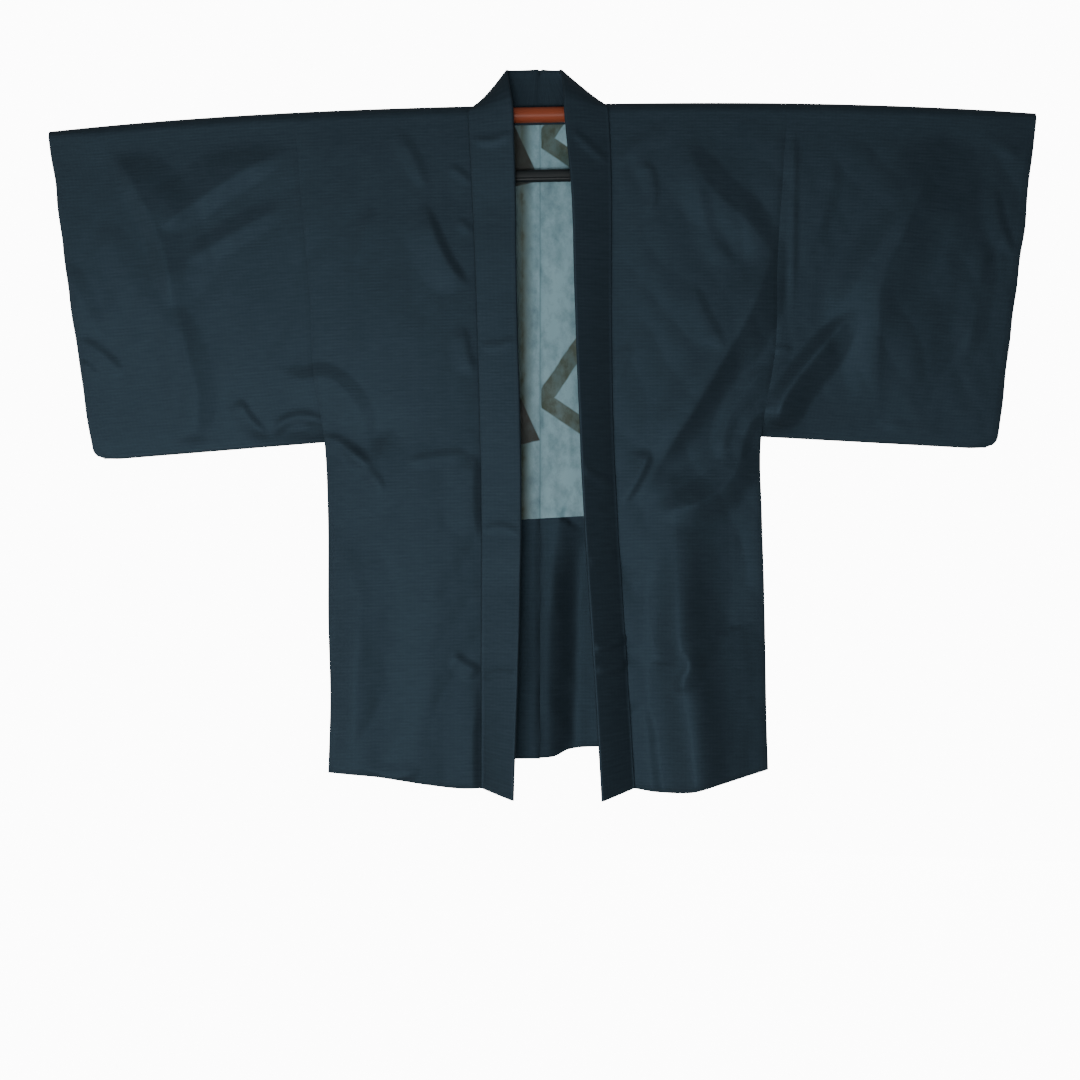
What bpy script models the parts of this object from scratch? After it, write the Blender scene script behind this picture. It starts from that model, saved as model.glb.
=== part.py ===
"""A haori jacket hung on a rod, with one named object for each piece that is cut and sewn on.

Metres, +Z up. +X is the wearer's left and -Y is the front. The origin is on the rod's axis, in the
middle of the neck opening. Every cloth piece is an open grid of its outer face, given a wall by a
Solidify modifier. Neighbours are made from the same rows of points, so their seams stay parallel.
"""

import math
from collections import namedtuple

import bmesh
import bpy
from mathutils import Vector

# Cloth walls and the clearances between pieces
SHELL_WALL = 0.0020
COLLAR_WALL = 0.0015
LINING_WALL = 0.0010
SEAM_GAP = 0.0003
LAYER_GAP = 0.0004
LINING_SIDE_INSET = 0.0065

# The rod and the cloth that lies over it
ROD_RADIUS = 0.0105
WRAP_RADIUS = 0.0135
ROD_REACH = 0.560
ROD_TILT = 0.019
DROOP = 0.0222
DROOP_REACH = 0.643
DROOP_POWER = 2.5

# Heights of the body
UNDERARM_Z = {"right": -0.4365, "left": -0.4290}
ARMHOLE_LEVEL = 0.93
LINING_END_Z = -0.540
NECK_BACK_HALF = 0.074
NECK_TURN_IN = 1.35

# The collar band, which is folded in two along its length
LEAF_SPACING = 0.0035
FLAP_OVER_SEAM = 0.0035
COLLAR_SEAM_GAP = 0.0012

# The sleeve's edges
SLEEVE_HEM_RADIUS = 0.0030
CUFF_CORNER = 0.014
CUFF_OPENING_LEVEL = 0.75
CUFF_WRAP_RADIUS = 0.0095

# The hanger under the rod
BAR_Z = -0.0818
BAR_HEIGHT = 0.017
BAR_DEPTH = 0.010
BAR_HALF_LENGTH = 0.190
LINK_X = 0.170
LINK_WIDTH = 0.012
LINK_DEPTH = 0.006

# Rows and columns of the grids
ARM_LEVELS = (0, 0.026, 0.10, 0.20, 0.30, 0.40, 0.50, 0.60, 0.70, 0.80, 0.88, 0.93, 0.97, 1)
SKIRT_ROWS = 11
WRAP_ROWS = 6
NECK_COLUMNS = 3
PANEL_COLUMNS = 7
SLEEVE_LEVELS = (0, 0.15, 0.31, 0.47, 0.63, 0.79, 0.93, 1)
GUSSET_COLUMNS = 3

SIDES = {"right": -1, "left": 1}

# The front opening: distances from the centre of the collar's seam and fold, and how far the fold
# stands forward of the panel, down the height of the garment
Opening = namedtuple("Opening", "z seam fold forward")
OPENING = {
    "right": (
        Opening(0.00, 0.094, 0.036, 0.0075),
        Opening(-0.10, 0.089, 0.033, 0.0040),
        Opening(-0.25, 0.083, 0.031, 0.0030),
        Opening(-0.43, 0.078, 0.026, 0.0040),
        Opening(-0.54, 0.076, 0.025, 0.0060),
        Opening(-0.72, 0.076, 0.028, 0.0180),
        Opening(-0.91, 0.076, 0.035, 0.0280),
    ),
    "left": (
        Opening(0.00, 0.089, 0.032, 0.0075),
        Opening(-0.05, 0.092, 0.037, 0.0120),
        Opening(-0.10, 0.093, 0.0415, 0.0160),
        Opening(-0.25, 0.093, 0.046, 0.0200),
        Opening(-0.41, 0.095, 0.052, 0.0220),
        Opening(-0.54, 0.101, 0.058, 0.0220),
        Opening(-0.72, 0.1125, 0.0695, 0.0240),
        Opening(-0.91, 0.125, 0.082, 0.0240),
    ),
}

# The sleeve seam and, below the underarm, the side seam
Side = namedtuple("Side", "z x")
SIDE = {
    "right": (
        Side(0.00, 0.327),
        Side(-0.10, 0.320),
        Side(-0.25, 0.307),
        Side(-0.34, 0.303),
        Side(-0.4375, 0.288),
        Side(-0.54, 0.283),
        Side(-0.675, 0.282),
        Side(-0.78, 0.279),
        Side(-0.88, 0.2815),
    ),
    "left": (
        Side(0.00, 0.3295),
        Side(-0.10, 0.323),
        Side(-0.20, 0.3165),
        Side(-0.31, 0.3145),
        Side(-0.4375, 0.295),
        Side(-0.54, 0.296),
        Side(-0.65, 0.299),
        Side(-0.81, 0.3015),
        Side(-0.88, 0.3035),
    ),
}

# Front hem heights, from the collar seam (0) to the side seam (1)
Hem = namedtuple("Hem", "across z")
FRONT_HEM = {
    "right": (Hem(0, -0.900), Hem(0.15, -0.900), Hem(0.35, -0.895), Hem(0.66, -0.885), Hem(1, -0.8785)),
    "left": (Hem(0, -0.900), Hem(0.2, -0.905), Hem(0.41, -0.904), Hem(0.62, -0.8945), Hem(1, -0.8745)),
}
COLLAR_TIP_DROP = {"right": 0.0135, "left": 0.0150}

# Back hem heights, from the centre seam (0) to the side seam (1)
BACK_HEM = {
    "right": (Hem(0, -0.865), Hem(0.3, -0.866), Hem(0.7, -0.862), Hem(1, -0.872)),
    "left": (Hem(0, -0.864), Hem(0.06, -0.862), Hem(0.12, -0.853), Hem(0.6, -0.860), Hem(1, -0.870)),
}

# How far the cloth stands from the hanging plane: at the opening, at the side and at the centre back
Depth = namedtuple("Depth", "z opening side centre_back")
DEPTH = (
    Depth(0.00, 0.0135, 0.0135, 0.0150),
    Depth(-0.10, 0.0155, 0.0150, 0.0165),
    Depth(-0.25, 0.0180, 0.0160, 0.0190),
    Depth(-0.40, 0.0200, 0.0130, 0.0210),
    Depth(-0.4375, 0.0205, 0.0125, 0.0215),
    Depth(-0.55, 0.0210, 0.0160, 0.0230),
    Depth(-0.70, 0.0220, 0.0220, 0.0250),
    Depth(-0.91, 0.0230, 0.0280, 0.0270),
)
PANEL_BULGE = 0.006

# The collar's fold line as it turns from the front (0) over the shoulder to the back corner (1)
NeckFold = namedtuple("NeckFold", "turn right left y z")
NECK_FOLD = (
    NeckFold(0.0, 0.037, 0.0320, -0.0210, 0.006),
    NeckFold(0.2, 0.039, 0.0315, -0.0180, 0.028),
    NeckFold(0.5, 0.0435, 0.0280, -0.0020, 0.0560),
    NeckFold(1.0, 0.0405, 0.0245, 0.0150, 0.0610),
)
NECK_FOLD_BACK = Vector((0, 0.0185, 0.0650))

# The sleeves: cuff and bottom corners, as distances from the centre and heights
Sleeve = namedtuple("Sleeve", "cuff_top_x cuff_bottom_x bottom_z")
SLEEVE = {"right": Sleeve(0.657, 0.599, -0.4605), "left": Sleeve(0.6635, 0.612, -0.4455)}

# Half thickness of a sleeve down its height, in mid sleeve and at the cuff
Fullness = namedtuple("Fullness", "level middle cuff")
SLEEVE_FULLNESS = (
    Fullness(0.0, 0.0135, 0.0095),
    Fullness(0.2, 0.0155, 0.0120),
    Fullness(0.5, 0.0150, 0.0115),
    Fullness(0.8, 0.0105, 0.0065),
    Fullness(1.0, 0.0030, 0.0030),
)

# The largest folds. Each runs along a line of (x, z) points and stands out (+) or dips in (-)
Fold = namedtuple("Fold", "face height width line")
FOLDS = (
    Fold("front", 0.010, 0.030, ((0.184, -0.52), (0.188, -0.70), (0.200, -0.79), (0.214, -0.92))),
    Fold("front", -0.005, 0.022, ((0.240, -0.50), (0.243, -0.66), (0.250, -0.80), (0.262, -0.92))),
    Fold("front", -0.005, 0.024, ((0.306, -0.24), (0.268, -0.33), (0.222, -0.41), (0.172, -0.47))),
    Fold("front", 0.004, 0.026, ((-0.255, -0.58), (-0.247, -0.70), (-0.252, -0.92))),
    Fold("front", -0.004, 0.026, ((-0.350, -0.33), (-0.289, -0.345), (-0.215, -0.425))),
    Fold("front", 0.005, 0.028, ((-0.140, -0.56), (-0.150, -0.74), (-0.165, -0.92))),
    Fold("front", -0.005, 0.026, ((0.560, -0.02), (0.520, -0.18), (0.470, -0.30), (0.455, -0.41))),
    Fold("front", 0.004, 0.026, ((-0.530, -0.14), (-0.500, -0.26), (-0.475, -0.34), (-0.465, -0.44))),
    Fold("back", 0.007, 0.026, ((-0.215, -0.44), (-0.222, -0.66), (-0.235, -0.92))),
    Fold("back", -0.005, 0.024, ((-0.150, -0.40), (-0.155, -0.66), (-0.160, -0.92))),
    Fold("back", 0.006, 0.024, ((-0.085, -0.50), (-0.090, -0.70), (-0.095, -0.92))),
    Fold("back", 0.009, 0.022, ((0.050, -0.52), (0.048, -0.70), (0.045, -0.92))),
    Fold("back", 0.006, 0.026, ((0.125, -0.46), (0.132, -0.66), (0.140, -0.92))),
    Fold("back", -0.005, 0.024, ((0.190, -0.42), (0.196, -0.66), (0.205, -0.92))),
    Fold("back", -0.004, 0.026, ((0.420, -0.06), (0.450, -0.22), (0.470, -0.40))),
    Fold("back", -0.004, 0.026, ((-0.420, -0.06), (-0.455, -0.22), (-0.470, -0.40))),
)
FOLD_RISE = 0.14
CENTRE_SEAM_HOLD = 0.012
RIM_HOLD = 0.03

NAVY = (0.021, 0.037, 0.051, 1)
LINING_BLUE = (0.19, 0.29, 0.31, 1)
ROD_RED = (0.22, 0.058, 0.030, 1)
BAR_BLACK = (0.018, 0.022, 0.024, 1)


def read(rows, at, column):
    """A column of a table, on a smooth curve through its rows. The first column is the key."""
    keys = [row[0] for row in rows]
    values = [getattr(row, column) for row in rows]
    if keys[0] > keys[-1]:
        keys, values = keys[::-1], values[::-1]
    if at <= keys[0]:
        return values[0]
    if at >= keys[-1]:
        return values[-1]
    i = max(k for k in range(len(keys) - 1) if keys[k] <= at)
    step = keys[i + 1] - keys[i]
    slope = (values[i + 1] - values[i]) / step
    before = (values[i] - values[i - 1]) / (keys[i] - keys[i - 1]) if i else slope
    last = i + 2 == len(keys)
    after = slope if last else (values[i + 2] - values[i + 1]) / (keys[i + 2] - keys[i + 1])
    start, end = (before + slope) / 2, (slope + after) / 2
    t = (at - keys[i]) / step
    return (
        values[i] * (1 + 2 * t) * (1 - t) ** 2
        + values[i + 1] * t * t * (3 - 2 * t)
        + start * step * t * (1 - t) ** 2
        - end * step * t * t * (1 - t)
    )


def mix(a, b, share):
    return a + (b - a) * share


def rod_height(x):
    """Height of the rod's axis: it tilts a little and bows down towards its ends."""
    return ROD_TILT * x - DROOP * (abs(x) / DROOP_REACH) ** DROOP_POWER


def fold_offset(face, x, z):
    """How far the folds of one face move the cloth out at (x, z). A fold rises from its top end."""
    total = 0.0
    for fold in FOLDS:
        if fold.face == face:
            nearest = min(line_distance(a, b, x, z) for a, b in zip(fold.line, fold.line[1:]))
            rise = min(1.0, max(0.0, (fold.line[0][1] - z) / FOLD_RISE))
            rise *= rise * (3 - 2 * rise)
            total += fold.height * rise * math.exp(-((nearest / fold.width) ** 2))
    if face == "back":
        total *= x * x / (x * x + CENTRE_SEAM_HOLD**2)
    top_hold = min(1.0, max(0.0, (rod_height(x) - z) / RIM_HOLD - 0.4))
    return total * top_hold


def line_distance(a, b, x, z):
    dx, dz = b[0] - a[0], b[1] - a[1]
    along = ((x - a[0]) * dx + (z - a[1]) * dz) / (dx * dx + dz * dz)
    along = min(1.0, max(0.0, along))
    return math.hypot(x - a[0] - along * dx, z - a[1] - along * dz)


def panel_depth(face, x, z, across):
    """Distance of a body panel's outer face from the hanging plane, at a share of its width."""
    inner = read(DEPTH, z, "opening" if face == "front" else "centre_back")
    outer = read(DEPTH, z, "side")
    fall = min(1.0, max(0.0, -z / 0.3))
    bulge = PANEL_BULGE * fall * 4 * across * (1 - across)
    return mix(inner, outer, across) + bulge + fold_offset(face, x, z)


# Rows of a body panel run from the front hem, over the rod, to the back hem
DOWN_LEVELS = [(level, 0.0) for level in ARM_LEVELS]
DOWN_LEVELS += [(1.0, (row + 1) / SKIRT_ROWS) for row in range(SKIRT_ROWS)]
FRONT_ROWS = len(DOWN_LEVELS)
COLUMNS = NECK_COLUMNS + PANEL_COLUMNS
BODY_ROWS = 2 * FRONT_ROWS + WRAP_ROWS - 1


def body_point(side, column, row):
    """A point of the body panel's outer face. Columns run from the centre to the side seam."""
    sign = SIDES[side]
    across = (column - NECK_COLUMNS) / PANEL_COLUMNS
    if FRONT_ROWS <= row < FRONT_ROWS + WRAP_ROWS - 1:
        turn = (row - FRONT_ROWS + 1) / WRAP_ROWS
        seam = mix(OPENING[side][0].seam, NECK_BACK_HALF, min(1.0, NECK_TURN_IN * turn))
        x = sign * mix(seam, SIDE[side][0].x, across)
        angle = math.pi * (turn - 0.5)
        return Vector(
            (x, WRAP_RADIUS * math.sin(angle), rod_height(x) + WRAP_RADIUS * math.cos(angle))
        )
    if row < FRONT_ROWS:
        level, skirt = DOWN_LEVELS[FRONT_ROWS - 1 - row]
        hem = read(FRONT_HEM[side], across, "z")
        flat_x = sign * mix(OPENING[side][0].seam, SIDE[side][0].x, across)
        z = mix(mix(rod_height(flat_x), UNDERARM_Z[side], level), hem, skirt)
        x = sign * mix(read(OPENING[side], z, "seam"), read(SIDE[side], z, "x"), across)
        return Vector((x, -panel_depth("front", x, z, across), z))
    level, skirt = DOWN_LEVELS[row - FRONT_ROWS - WRAP_ROWS + 1]
    neck = NECK_BACK_HALF
    width = SIDE[side][0].x
    flat_x = sign * (mix(neck, width, across) if across > 0 else neck * column / NECK_COLUMNS)
    share = abs(flat_x) / width
    z = mix(mix(rod_height(flat_x), UNDERARM_Z[side], level), read(BACK_HEM[side], share, "z"), skirt)
    edge = read(SIDE[side], z, "x")
    inner = SEAM_GAP / 2
    if across > 0:
        x = sign * mix(neck, edge, across)
    else:
        x = sign * max(inner, neck * column / NECK_COLUMNS)
    return Vector((x, panel_depth("back", x, z, abs(x) / edge), z))


def link_to(obj, collection):
    collection.objects.link(obj)
    return obj


def cloth_object(name, mesh_source, wall, offset, material, collection):
    """An open bmesh made an object with a Solidify wall. Offset -1 puts the wall inside the face."""
    mesh = bpy.data.meshes.new(name)
    mesh_source.to_mesh(mesh)
    mesh_source.free()
    mesh.materials.append(material)
    obj = link_to(bpy.data.objects.new(name, mesh), collection)
    thicken = obj.modifiers.new("wall", "SOLIDIFY")
    thicken.thickness = wall
    thicken.offset = offset
    obj.data.shade_smooth()
    return obj


def grid_of(columns, rows, point):
    """A grid of columns by rows, with each vertex put at point(column, row), and its vertices."""
    mesh = bmesh.new()
    bmesh.ops.create_grid(mesh, x_segments=columns, y_segments=rows, size=0.5)
    placed = {}
    for vertex in mesh.verts:
        column = round((vertex.co.x + 0.5) * columns)
        row = round((vertex.co.y + 0.5) * rows)
        placed[column, row] = vertex
    for (column, row), vertex in placed.items():
        vertex.co = point(column, row)
    return mesh, placed


def turn_outwards(mesh, vertex, outwards):
    """Flips all the faces if the one vertex's normal doesn't point outwards."""
    mesh.normal_update()
    if vertex.normal.dot(outwards) < 0:
        bmesh.ops.reverse_faces(mesh, faces=mesh.faces[:])
        mesh.normal_update()


def body_grid(side):
    """The outer face of one body width: front, shoulder and back in one piece, with the neck cut."""
    mesh, placed = grid_of(COLUMNS, BODY_ROWS - 1, lambda c, r: body_point(side, c, r))
    back_start = FRONT_ROWS + WRAP_ROWS - 1
    cut = [placed[c, r] for c in range(NECK_COLUMNS) for r in range(back_start)]
    bmesh.ops.delete(mesh, geom=cut, context="VERTS")
    mesh.verts.ensure_lookup_table()
    turn_outwards(mesh, placed[COLUMNS - 2, 3], Vector((0, -1, 0)))
    return mesh, placed


def make_body(side, material, collection):
    mesh, _ = body_grid(side)
    return cloth_object(f"body_{side}", mesh, SHELL_WALL, -1, material, collection)


def make_lining(side, material, collection):
    """The back lining: the body's own points moved in past its wall, kept from neck to hem facing."""
    mesh, placed = body_grid(side)
    inwards = SHELL_WALL + LAYER_GAP
    moved = [vertex.co - vertex.normal * inwards for vertex in mesh.verts]
    for vertex, place in zip(mesh.verts, moved):
        vertex.co = place
    first = FRONT_ROWS + WRAP_ROWS
    kept_rows = [r for r in range(first, BODY_ROWS) if body_point(side, 0, r).z > LINING_END_Z]
    last = kept_rows[-1] + 1
    for (column, row), vertex in placed.items():
        if column == COLUMNS and vertex.is_valid:
            vertex.co.x -= SIDES[side] * LINING_SIDE_INSET
    waste = [v for (c, r), v in placed.items() if v.is_valid and not first <= r <= last]
    bmesh.ops.delete(mesh, geom=waste, context="VERTS")
    return cloth_object(f"lining_{side}", mesh, LINING_WALL, -1, material, collection)


def sleeve_point(side, column, ring):
    """A point of the sleeve's outer face. Rings run down the front, round the bottom, up the back
    and over the rod. Column 0 is the armhole seam."""
    sign = SIDES[side]
    sizes = SLEEVE[side]
    across = SLEEVE_LEVELS[column]
    rows = len(ARM_LEVELS) - 1
    inner_x = SIDE[side][0].x + SEAM_GAP
    top_x = mix(inner_x, sizes.cuff_top_x, across)
    wrap = WRAP_RADIUS
    past_rod = (top_x - ROD_REACH - 0.02) / (sizes.cuff_top_x - ROD_REACH - 0.02)
    if past_rod > 0:
        wrap = mix(WRAP_RADIUS, CUFF_WRAP_RADIUS, past_rod)
    axis = rod_height(sign * top_x) + WRAP_RADIUS - wrap
    if ring > 2 * rows + 2:
        angle = math.pi * (0.5 - (ring - 2 * rows - 2) / WRAP_ROWS)
        return Vector((sign * top_x, wrap * math.sin(angle), axis + wrap * math.cos(angle)))
    if ring == rows + 1:
        level, face = 1.0, 0
    else:
        level = ARM_LEVELS[ring if ring <= rows else 2 * rows + 2 - ring]
        face = -1 if ring <= rows else 1
    bottom = mix(UNDERARM_Z[side], sizes.bottom_z, across)
    z = mix(axis, bottom, level)
    rounding = CUFF_CORNER * (1 - math.sqrt(max(0.0, 1 - max(0.0, 1 - (z - bottom) / CUFF_CORNER) ** 2)))
    cuff_x = mix(sizes.cuff_top_x, sizes.cuff_bottom_x, level) - rounding
    x = sign * mix(read(SIDE[side], z, "x") + SEAM_GAP, cuff_x, across)
    if face == 0:
        return Vector((x, 0, bottom - SLEEVE_HEM_RADIUS / 2))
    full = mix(
        read(SLEEVE_FULLNESS, level, "middle"), read(SLEEVE_FULLNESS, level, "cuff"), across**2
    )
    seam_depth = read(DEPTH, z, "side")
    if level == 1.0:
        seam_depth = SLEEVE_HEM_RADIUS
    depth = mix(seam_depth, full, min(1.0, across / 0.4))
    if level < 1:
        depth = max(SLEEVE_HEM_RADIUS, depth + fold_offset("front" if face < 0 else "back", x, z))
    if level == 0:
        depth = wrap
    return Vector((x, face * depth, z))


def close_below(mesh, placed, column, first_ring):
    """Sews the front and back edges of a sleeve together below a ring, as a narrow closing strip."""
    rows = len(ARM_LEVELS) - 1
    front = [placed[column, ring] for ring in range(first_ring, rows + 2)]
    back = [placed[column, 2 * rows + 2 - ring] for ring in range(first_ring, rows + 2)]
    for k in range(len(front) - 1):
        corners = [front[k], front[k + 1], back[k + 1], back[k]]
        bmesh.ops.contextual_create(mesh, geom=list(dict.fromkeys(corners)))


def make_sleeve(side, material, collection):
    """A sleeve: a flat tube that is open at the armhole and the cuff, and sewn shut below both."""
    rows = len(ARM_LEVELS) - 1
    rings = 2 * rows + 2 + WRAP_ROWS
    mesh, placed = grid_of(len(SLEEVE_LEVELS) - 1, rings, lambda c, r: sleeve_point(side, c, r % rings))
    last = len(SLEEVE_LEVELS) - 1
    for column in range(last + 1):
        bmesh.ops.pointmerge(
            mesh,
            verts=[placed[column, 0], placed[column, rings]],
            merge_co=placed[column, 0].co.copy(),
        )
    placed = {key: v for key, v in placed.items() if v.is_valid}
    for column in range(last + 1):
        placed.setdefault((column, 0), placed.get((column, rings)))
    close_below(mesh, placed, 0, ARM_LEVELS.index(ARMHOLE_LEVEL))
    cuff_ring = min(k for k, level in enumerate(ARM_LEVELS) if level >= CUFF_OPENING_LEVEL)
    close_below(mesh, placed, last, cuff_ring)
    bmesh.ops.recalc_face_normals(mesh, faces=mesh.faces[:])
    turn_outwards(mesh, placed[3, 5], Vector((0, -1, 0)))
    return cloth_object(f"sleeve_{side}", mesh, SHELL_WALL, -1, material, collection)


def make_gusset(side, material, collection):
    """The side gusset: a strip between front and back from the underarm down, folded inwards."""
    sign = SIDES[side]
    first = ARM_LEVELS.index(ARMHOLE_LEVEL) + 1
    rows = FRONT_ROWS - 1 - first
    half_wall = SHELL_WALL / 2

    def point(column, row):
        step = first + rows - row
        front = body_point(side, COLUMNS, FRONT_ROWS - 1 - step)
        back = body_point(side, COLUMNS, FRONT_ROWS + WRAP_ROWS - 1 + step)
        clear = SHELL_WALL + LAYER_GAP + 0.0002
        share = column / GUSSET_COLUMNS
        start = front + Vector((0, clear, 0))
        end = back - Vector((0, clear, 0))
        place = start.lerp(end, share)
        fall = (step - first) / rows
        tuck = (0.001 + 0.012 * fall) * 4 * share * (1 - share)
        place.x = sign * (min(abs(front.x), abs(back.x)) - half_wall - 0.0004 - tuck)
        return place

    mesh, placed = grid_of(GUSSET_COLUMNS, rows, point)
    turn_outwards(mesh, placed[1, 2], Vector((sign, 0, 0)))
    return cloth_object(f"gusset_{side}", mesh, SHELL_WALL, 0, material, collection)


Station = namedtuple("Station", "seam beyond fold")


def collar_stations(side):
    """Stations of half the collar, from the front hem to the centre back. Each holds the panel's
    edge point, the panel point beyond it and the band's fold point."""
    sign = SIDES[side]
    found = []
    edge = NECK_COLUMNS
    for row in range(FRONT_ROWS):
        seam = body_point(side, edge, row)
        beyond = body_point(side, edge + 1, row)
        tip = COLLAR_TIP_DROP[side] * max(0.0, 1 - row / 3) if row < 3 else 0.0
        forward = read(OPENING[side], seam.z, "forward")
        fold = Vector((sign * read(OPENING[side], seam.z, "fold"), seam.y - forward, seam.z - tip))
        if row == FRONT_ROWS - 1:
            fold.z = NECK_FOLD[0].z
        found.append(Station(seam, beyond, fold))
    for step in range(1, WRAP_ROWS + 1):
        row = FRONT_ROWS - 1 + step
        turn = step / WRAP_ROWS
        fold = Vector([sign * read(NECK_FOLD, turn, side)] + [read(NECK_FOLD, turn, c) for c in "yz"])
        beyond = body_point(side, edge + 1, row)
        if step == WRAP_ROWS:
            beyond = body_point(side, edge + 1, row + 1)
        found.append(Station(body_point(side, edge, row), beyond, fold))
    corner = found[-1].fold
    row = FRONT_ROWS + WRAP_ROWS - 1
    for column in range(NECK_COLUMNS - 1, -1, -1):
        seam, beyond = body_point(side, column, row), body_point(side, column, row + 1)
        seam.x = sign * abs(seam.x) if column else 0.0
        beyond.x = beyond.x if column else 0.0
        fold = NECK_FOLD_BACK.lerp(corner, column / NECK_COLUMNS)
        found.append(Station(seam, beyond, fold))
    return found


def make_collar(material, collection):
    """The collar: a band folded in two. Its inner leaf is sewn to the panels' edges and its outer
    leaf lies over the seam."""
    right, left = collar_stations("right"), collar_stations("left")
    stations = right + left[-2::-1]
    count = len(stations)
    half_wall = COLLAR_WALL / 2
    radius = LEAF_SPACING / 2

    def profile(k):
        before, after = stations[max(0, k - 1)], stations[min(count - 1, k + 1)]
        here = stations[k]
        tangent = (after.seam - before.seam).normalized()
        cross = (here.fold - here.seam).normalized()
        out = cross.cross(tangent).normalized()
        away = (here.beyond - here.seam).normalized()
        panel_out = (-away).cross(tangent).normalized()
        inner_seam = here.seam - panel_out * half_wall + cross * COLLAR_SEAM_GAP
        centre = here.fold - cross * radius + out * (radius - half_wall)
        over = here.seam + (out + panel_out).normalized() * (LEAF_SPACING - half_wall)
        flap = here.seam + away * FLAP_OVER_SEAM + panel_out * (half_wall + LAYER_GAP + 0.0003)
        return [
            inner_seam,
            centre - out * radius,
            centre + cross * radius,
            centre + out * radius,
            over,
            flap,
        ]

    profiles = [profile(k) for k in range(count)]
    mesh, placed = grid_of(len(profiles[0]) - 1, count - 1, lambda c, r: profiles[r][c])
    turn_outwards(mesh, placed[4, 5], Vector((0, -1, 0)))
    return cloth_object("collar", mesh, COLLAR_WALL, 0, material, collection)


def make_rod(material, collection):
    """The hanger's rod: a tube that follows the tilt and bow of its axis."""
    curve = bpy.data.curves.new("hanger_rod", "CURVE")
    curve.dimensions = "3D"
    curve.bevel_depth = ROD_RADIUS
    curve.bevel_resolution = 4
    curve.use_fill_caps = True
    steps = 14
    line = curve.splines.new("POLY")
    line.points.add(steps)
    for k, point in enumerate(line.points):
        x = mix(-ROD_REACH, ROD_REACH, k / steps)
        point.co = (x, 0, rod_height(x), 1)
    curve.materials.append(material)
    return link_to(bpy.data.objects.new("hanger_rod", curve), collection)


def rounded_bar(name, size, place, tilt, round_edge, material, collection):
    """A box with rounded edges, turned about Y so that it follows the rod's tilt."""
    bpy.ops.mesh.primitive_cube_add(size=1)
    obj = bpy.context.object
    obj.name = obj.data.name = name
    obj.scale = size
    bpy.ops.object.transform_apply(location=False, rotation=False, scale=True)
    obj.location = place
    obj.rotation_euler = (0, tilt, 0)
    soften = obj.modifiers.new("round", "BEVEL")
    soften.width = round_edge
    soften.segments = 3
    obj.data.materials.append(material)
    for found in list(obj.users_collection):
        found.objects.unlink(obj)
    return link_to(obj, collection)


def make_hanger(rod_finish, bar_finish, collection):
    """The rod through the sleeves, the bar under it, and a post at each side that joins them."""
    make_rod(rod_finish, collection)
    tilt = -math.atan(ROD_TILT)
    bar_size = (2 * BAR_HALF_LENGTH, BAR_DEPTH, BAR_HEIGHT)
    rounded_bar("hanger_bar", bar_size, (0, 0, BAR_Z), tilt, 0.0045, bar_finish, collection)
    for side, sign in SIDES.items():
        x = sign * LINK_X
        top = rod_height(x) - ROD_RADIUS - SEAM_GAP - abs(ROD_TILT) * LINK_WIDTH
        bottom = BAR_Z + ROD_TILT * x + BAR_HEIGHT / 2 + SEAM_GAP + abs(ROD_TILT) * LINK_WIDTH
        size = (LINK_WIDTH, LINK_DEPTH, top - bottom)
        place = (x, 0, (top + bottom) / 2)
        rounded_bar(f"hanger_link_{side}", size, place, 0, 0.0015, bar_finish, collection)


def finish(name, colour, roughness, metallic=0.0):
    material = bpy.data.materials.new(name)
    material.use_nodes = True
    shader = material.node_tree.nodes["Principled BSDF"]
    shader.inputs["Base Color"].default_value = colour
    shader.inputs["Roughness"].default_value = roughness
    shader.inputs["Metallic"].default_value = metallic
    return material


def main():
    for obj in list(bpy.data.objects):
        bpy.data.objects.remove(obj)
    collection = bpy.data.collections.new("haori")
    bpy.context.scene.collection.children.link(collection)
    cloth = finish("navy_cloth", NAVY, 0.6)
    figured = finish("lining_cloth", LINING_BLUE, 0.5)
    red = finish("rod_plastic", ROD_RED, 0.4)
    black = finish("bar_plastic", BAR_BLACK, 0.35)
    for side in SIDES:
        make_body(side, cloth, collection)
        make_sleeve(side, cloth, collection)
        make_gusset(side, cloth, collection)
        make_lining(side, figured, collection)
    make_collar(cloth, collection)
    make_hanger(red, black, collection)


main()
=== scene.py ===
# %% [markdown]
# # A haori jacket on a hanger rod
#
# A haori is the short open coat that is worn over a kimono. It is made from straight lengths of
# narrow cloth: two widths that run from the front hem over the shoulder to the back hem, two square
# sleeves, a collar band folded in two, a narrow gusset at each side, and a lining. Hung on a rod,
# almost all of its shape comes from those straight cuts, and the rest from drag lines and soft
# folds. So each piece here is a fine grid of points, put in place by a few measured tables, and
# then given creases, a wall and a weave.
#
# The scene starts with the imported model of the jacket, which keeps the sizes. Its box is kept, so
# that the finished cloth can be compared with it.

import math
from collections import namedtuple

import bmesh
import bpy
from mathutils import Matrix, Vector, noise


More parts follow.
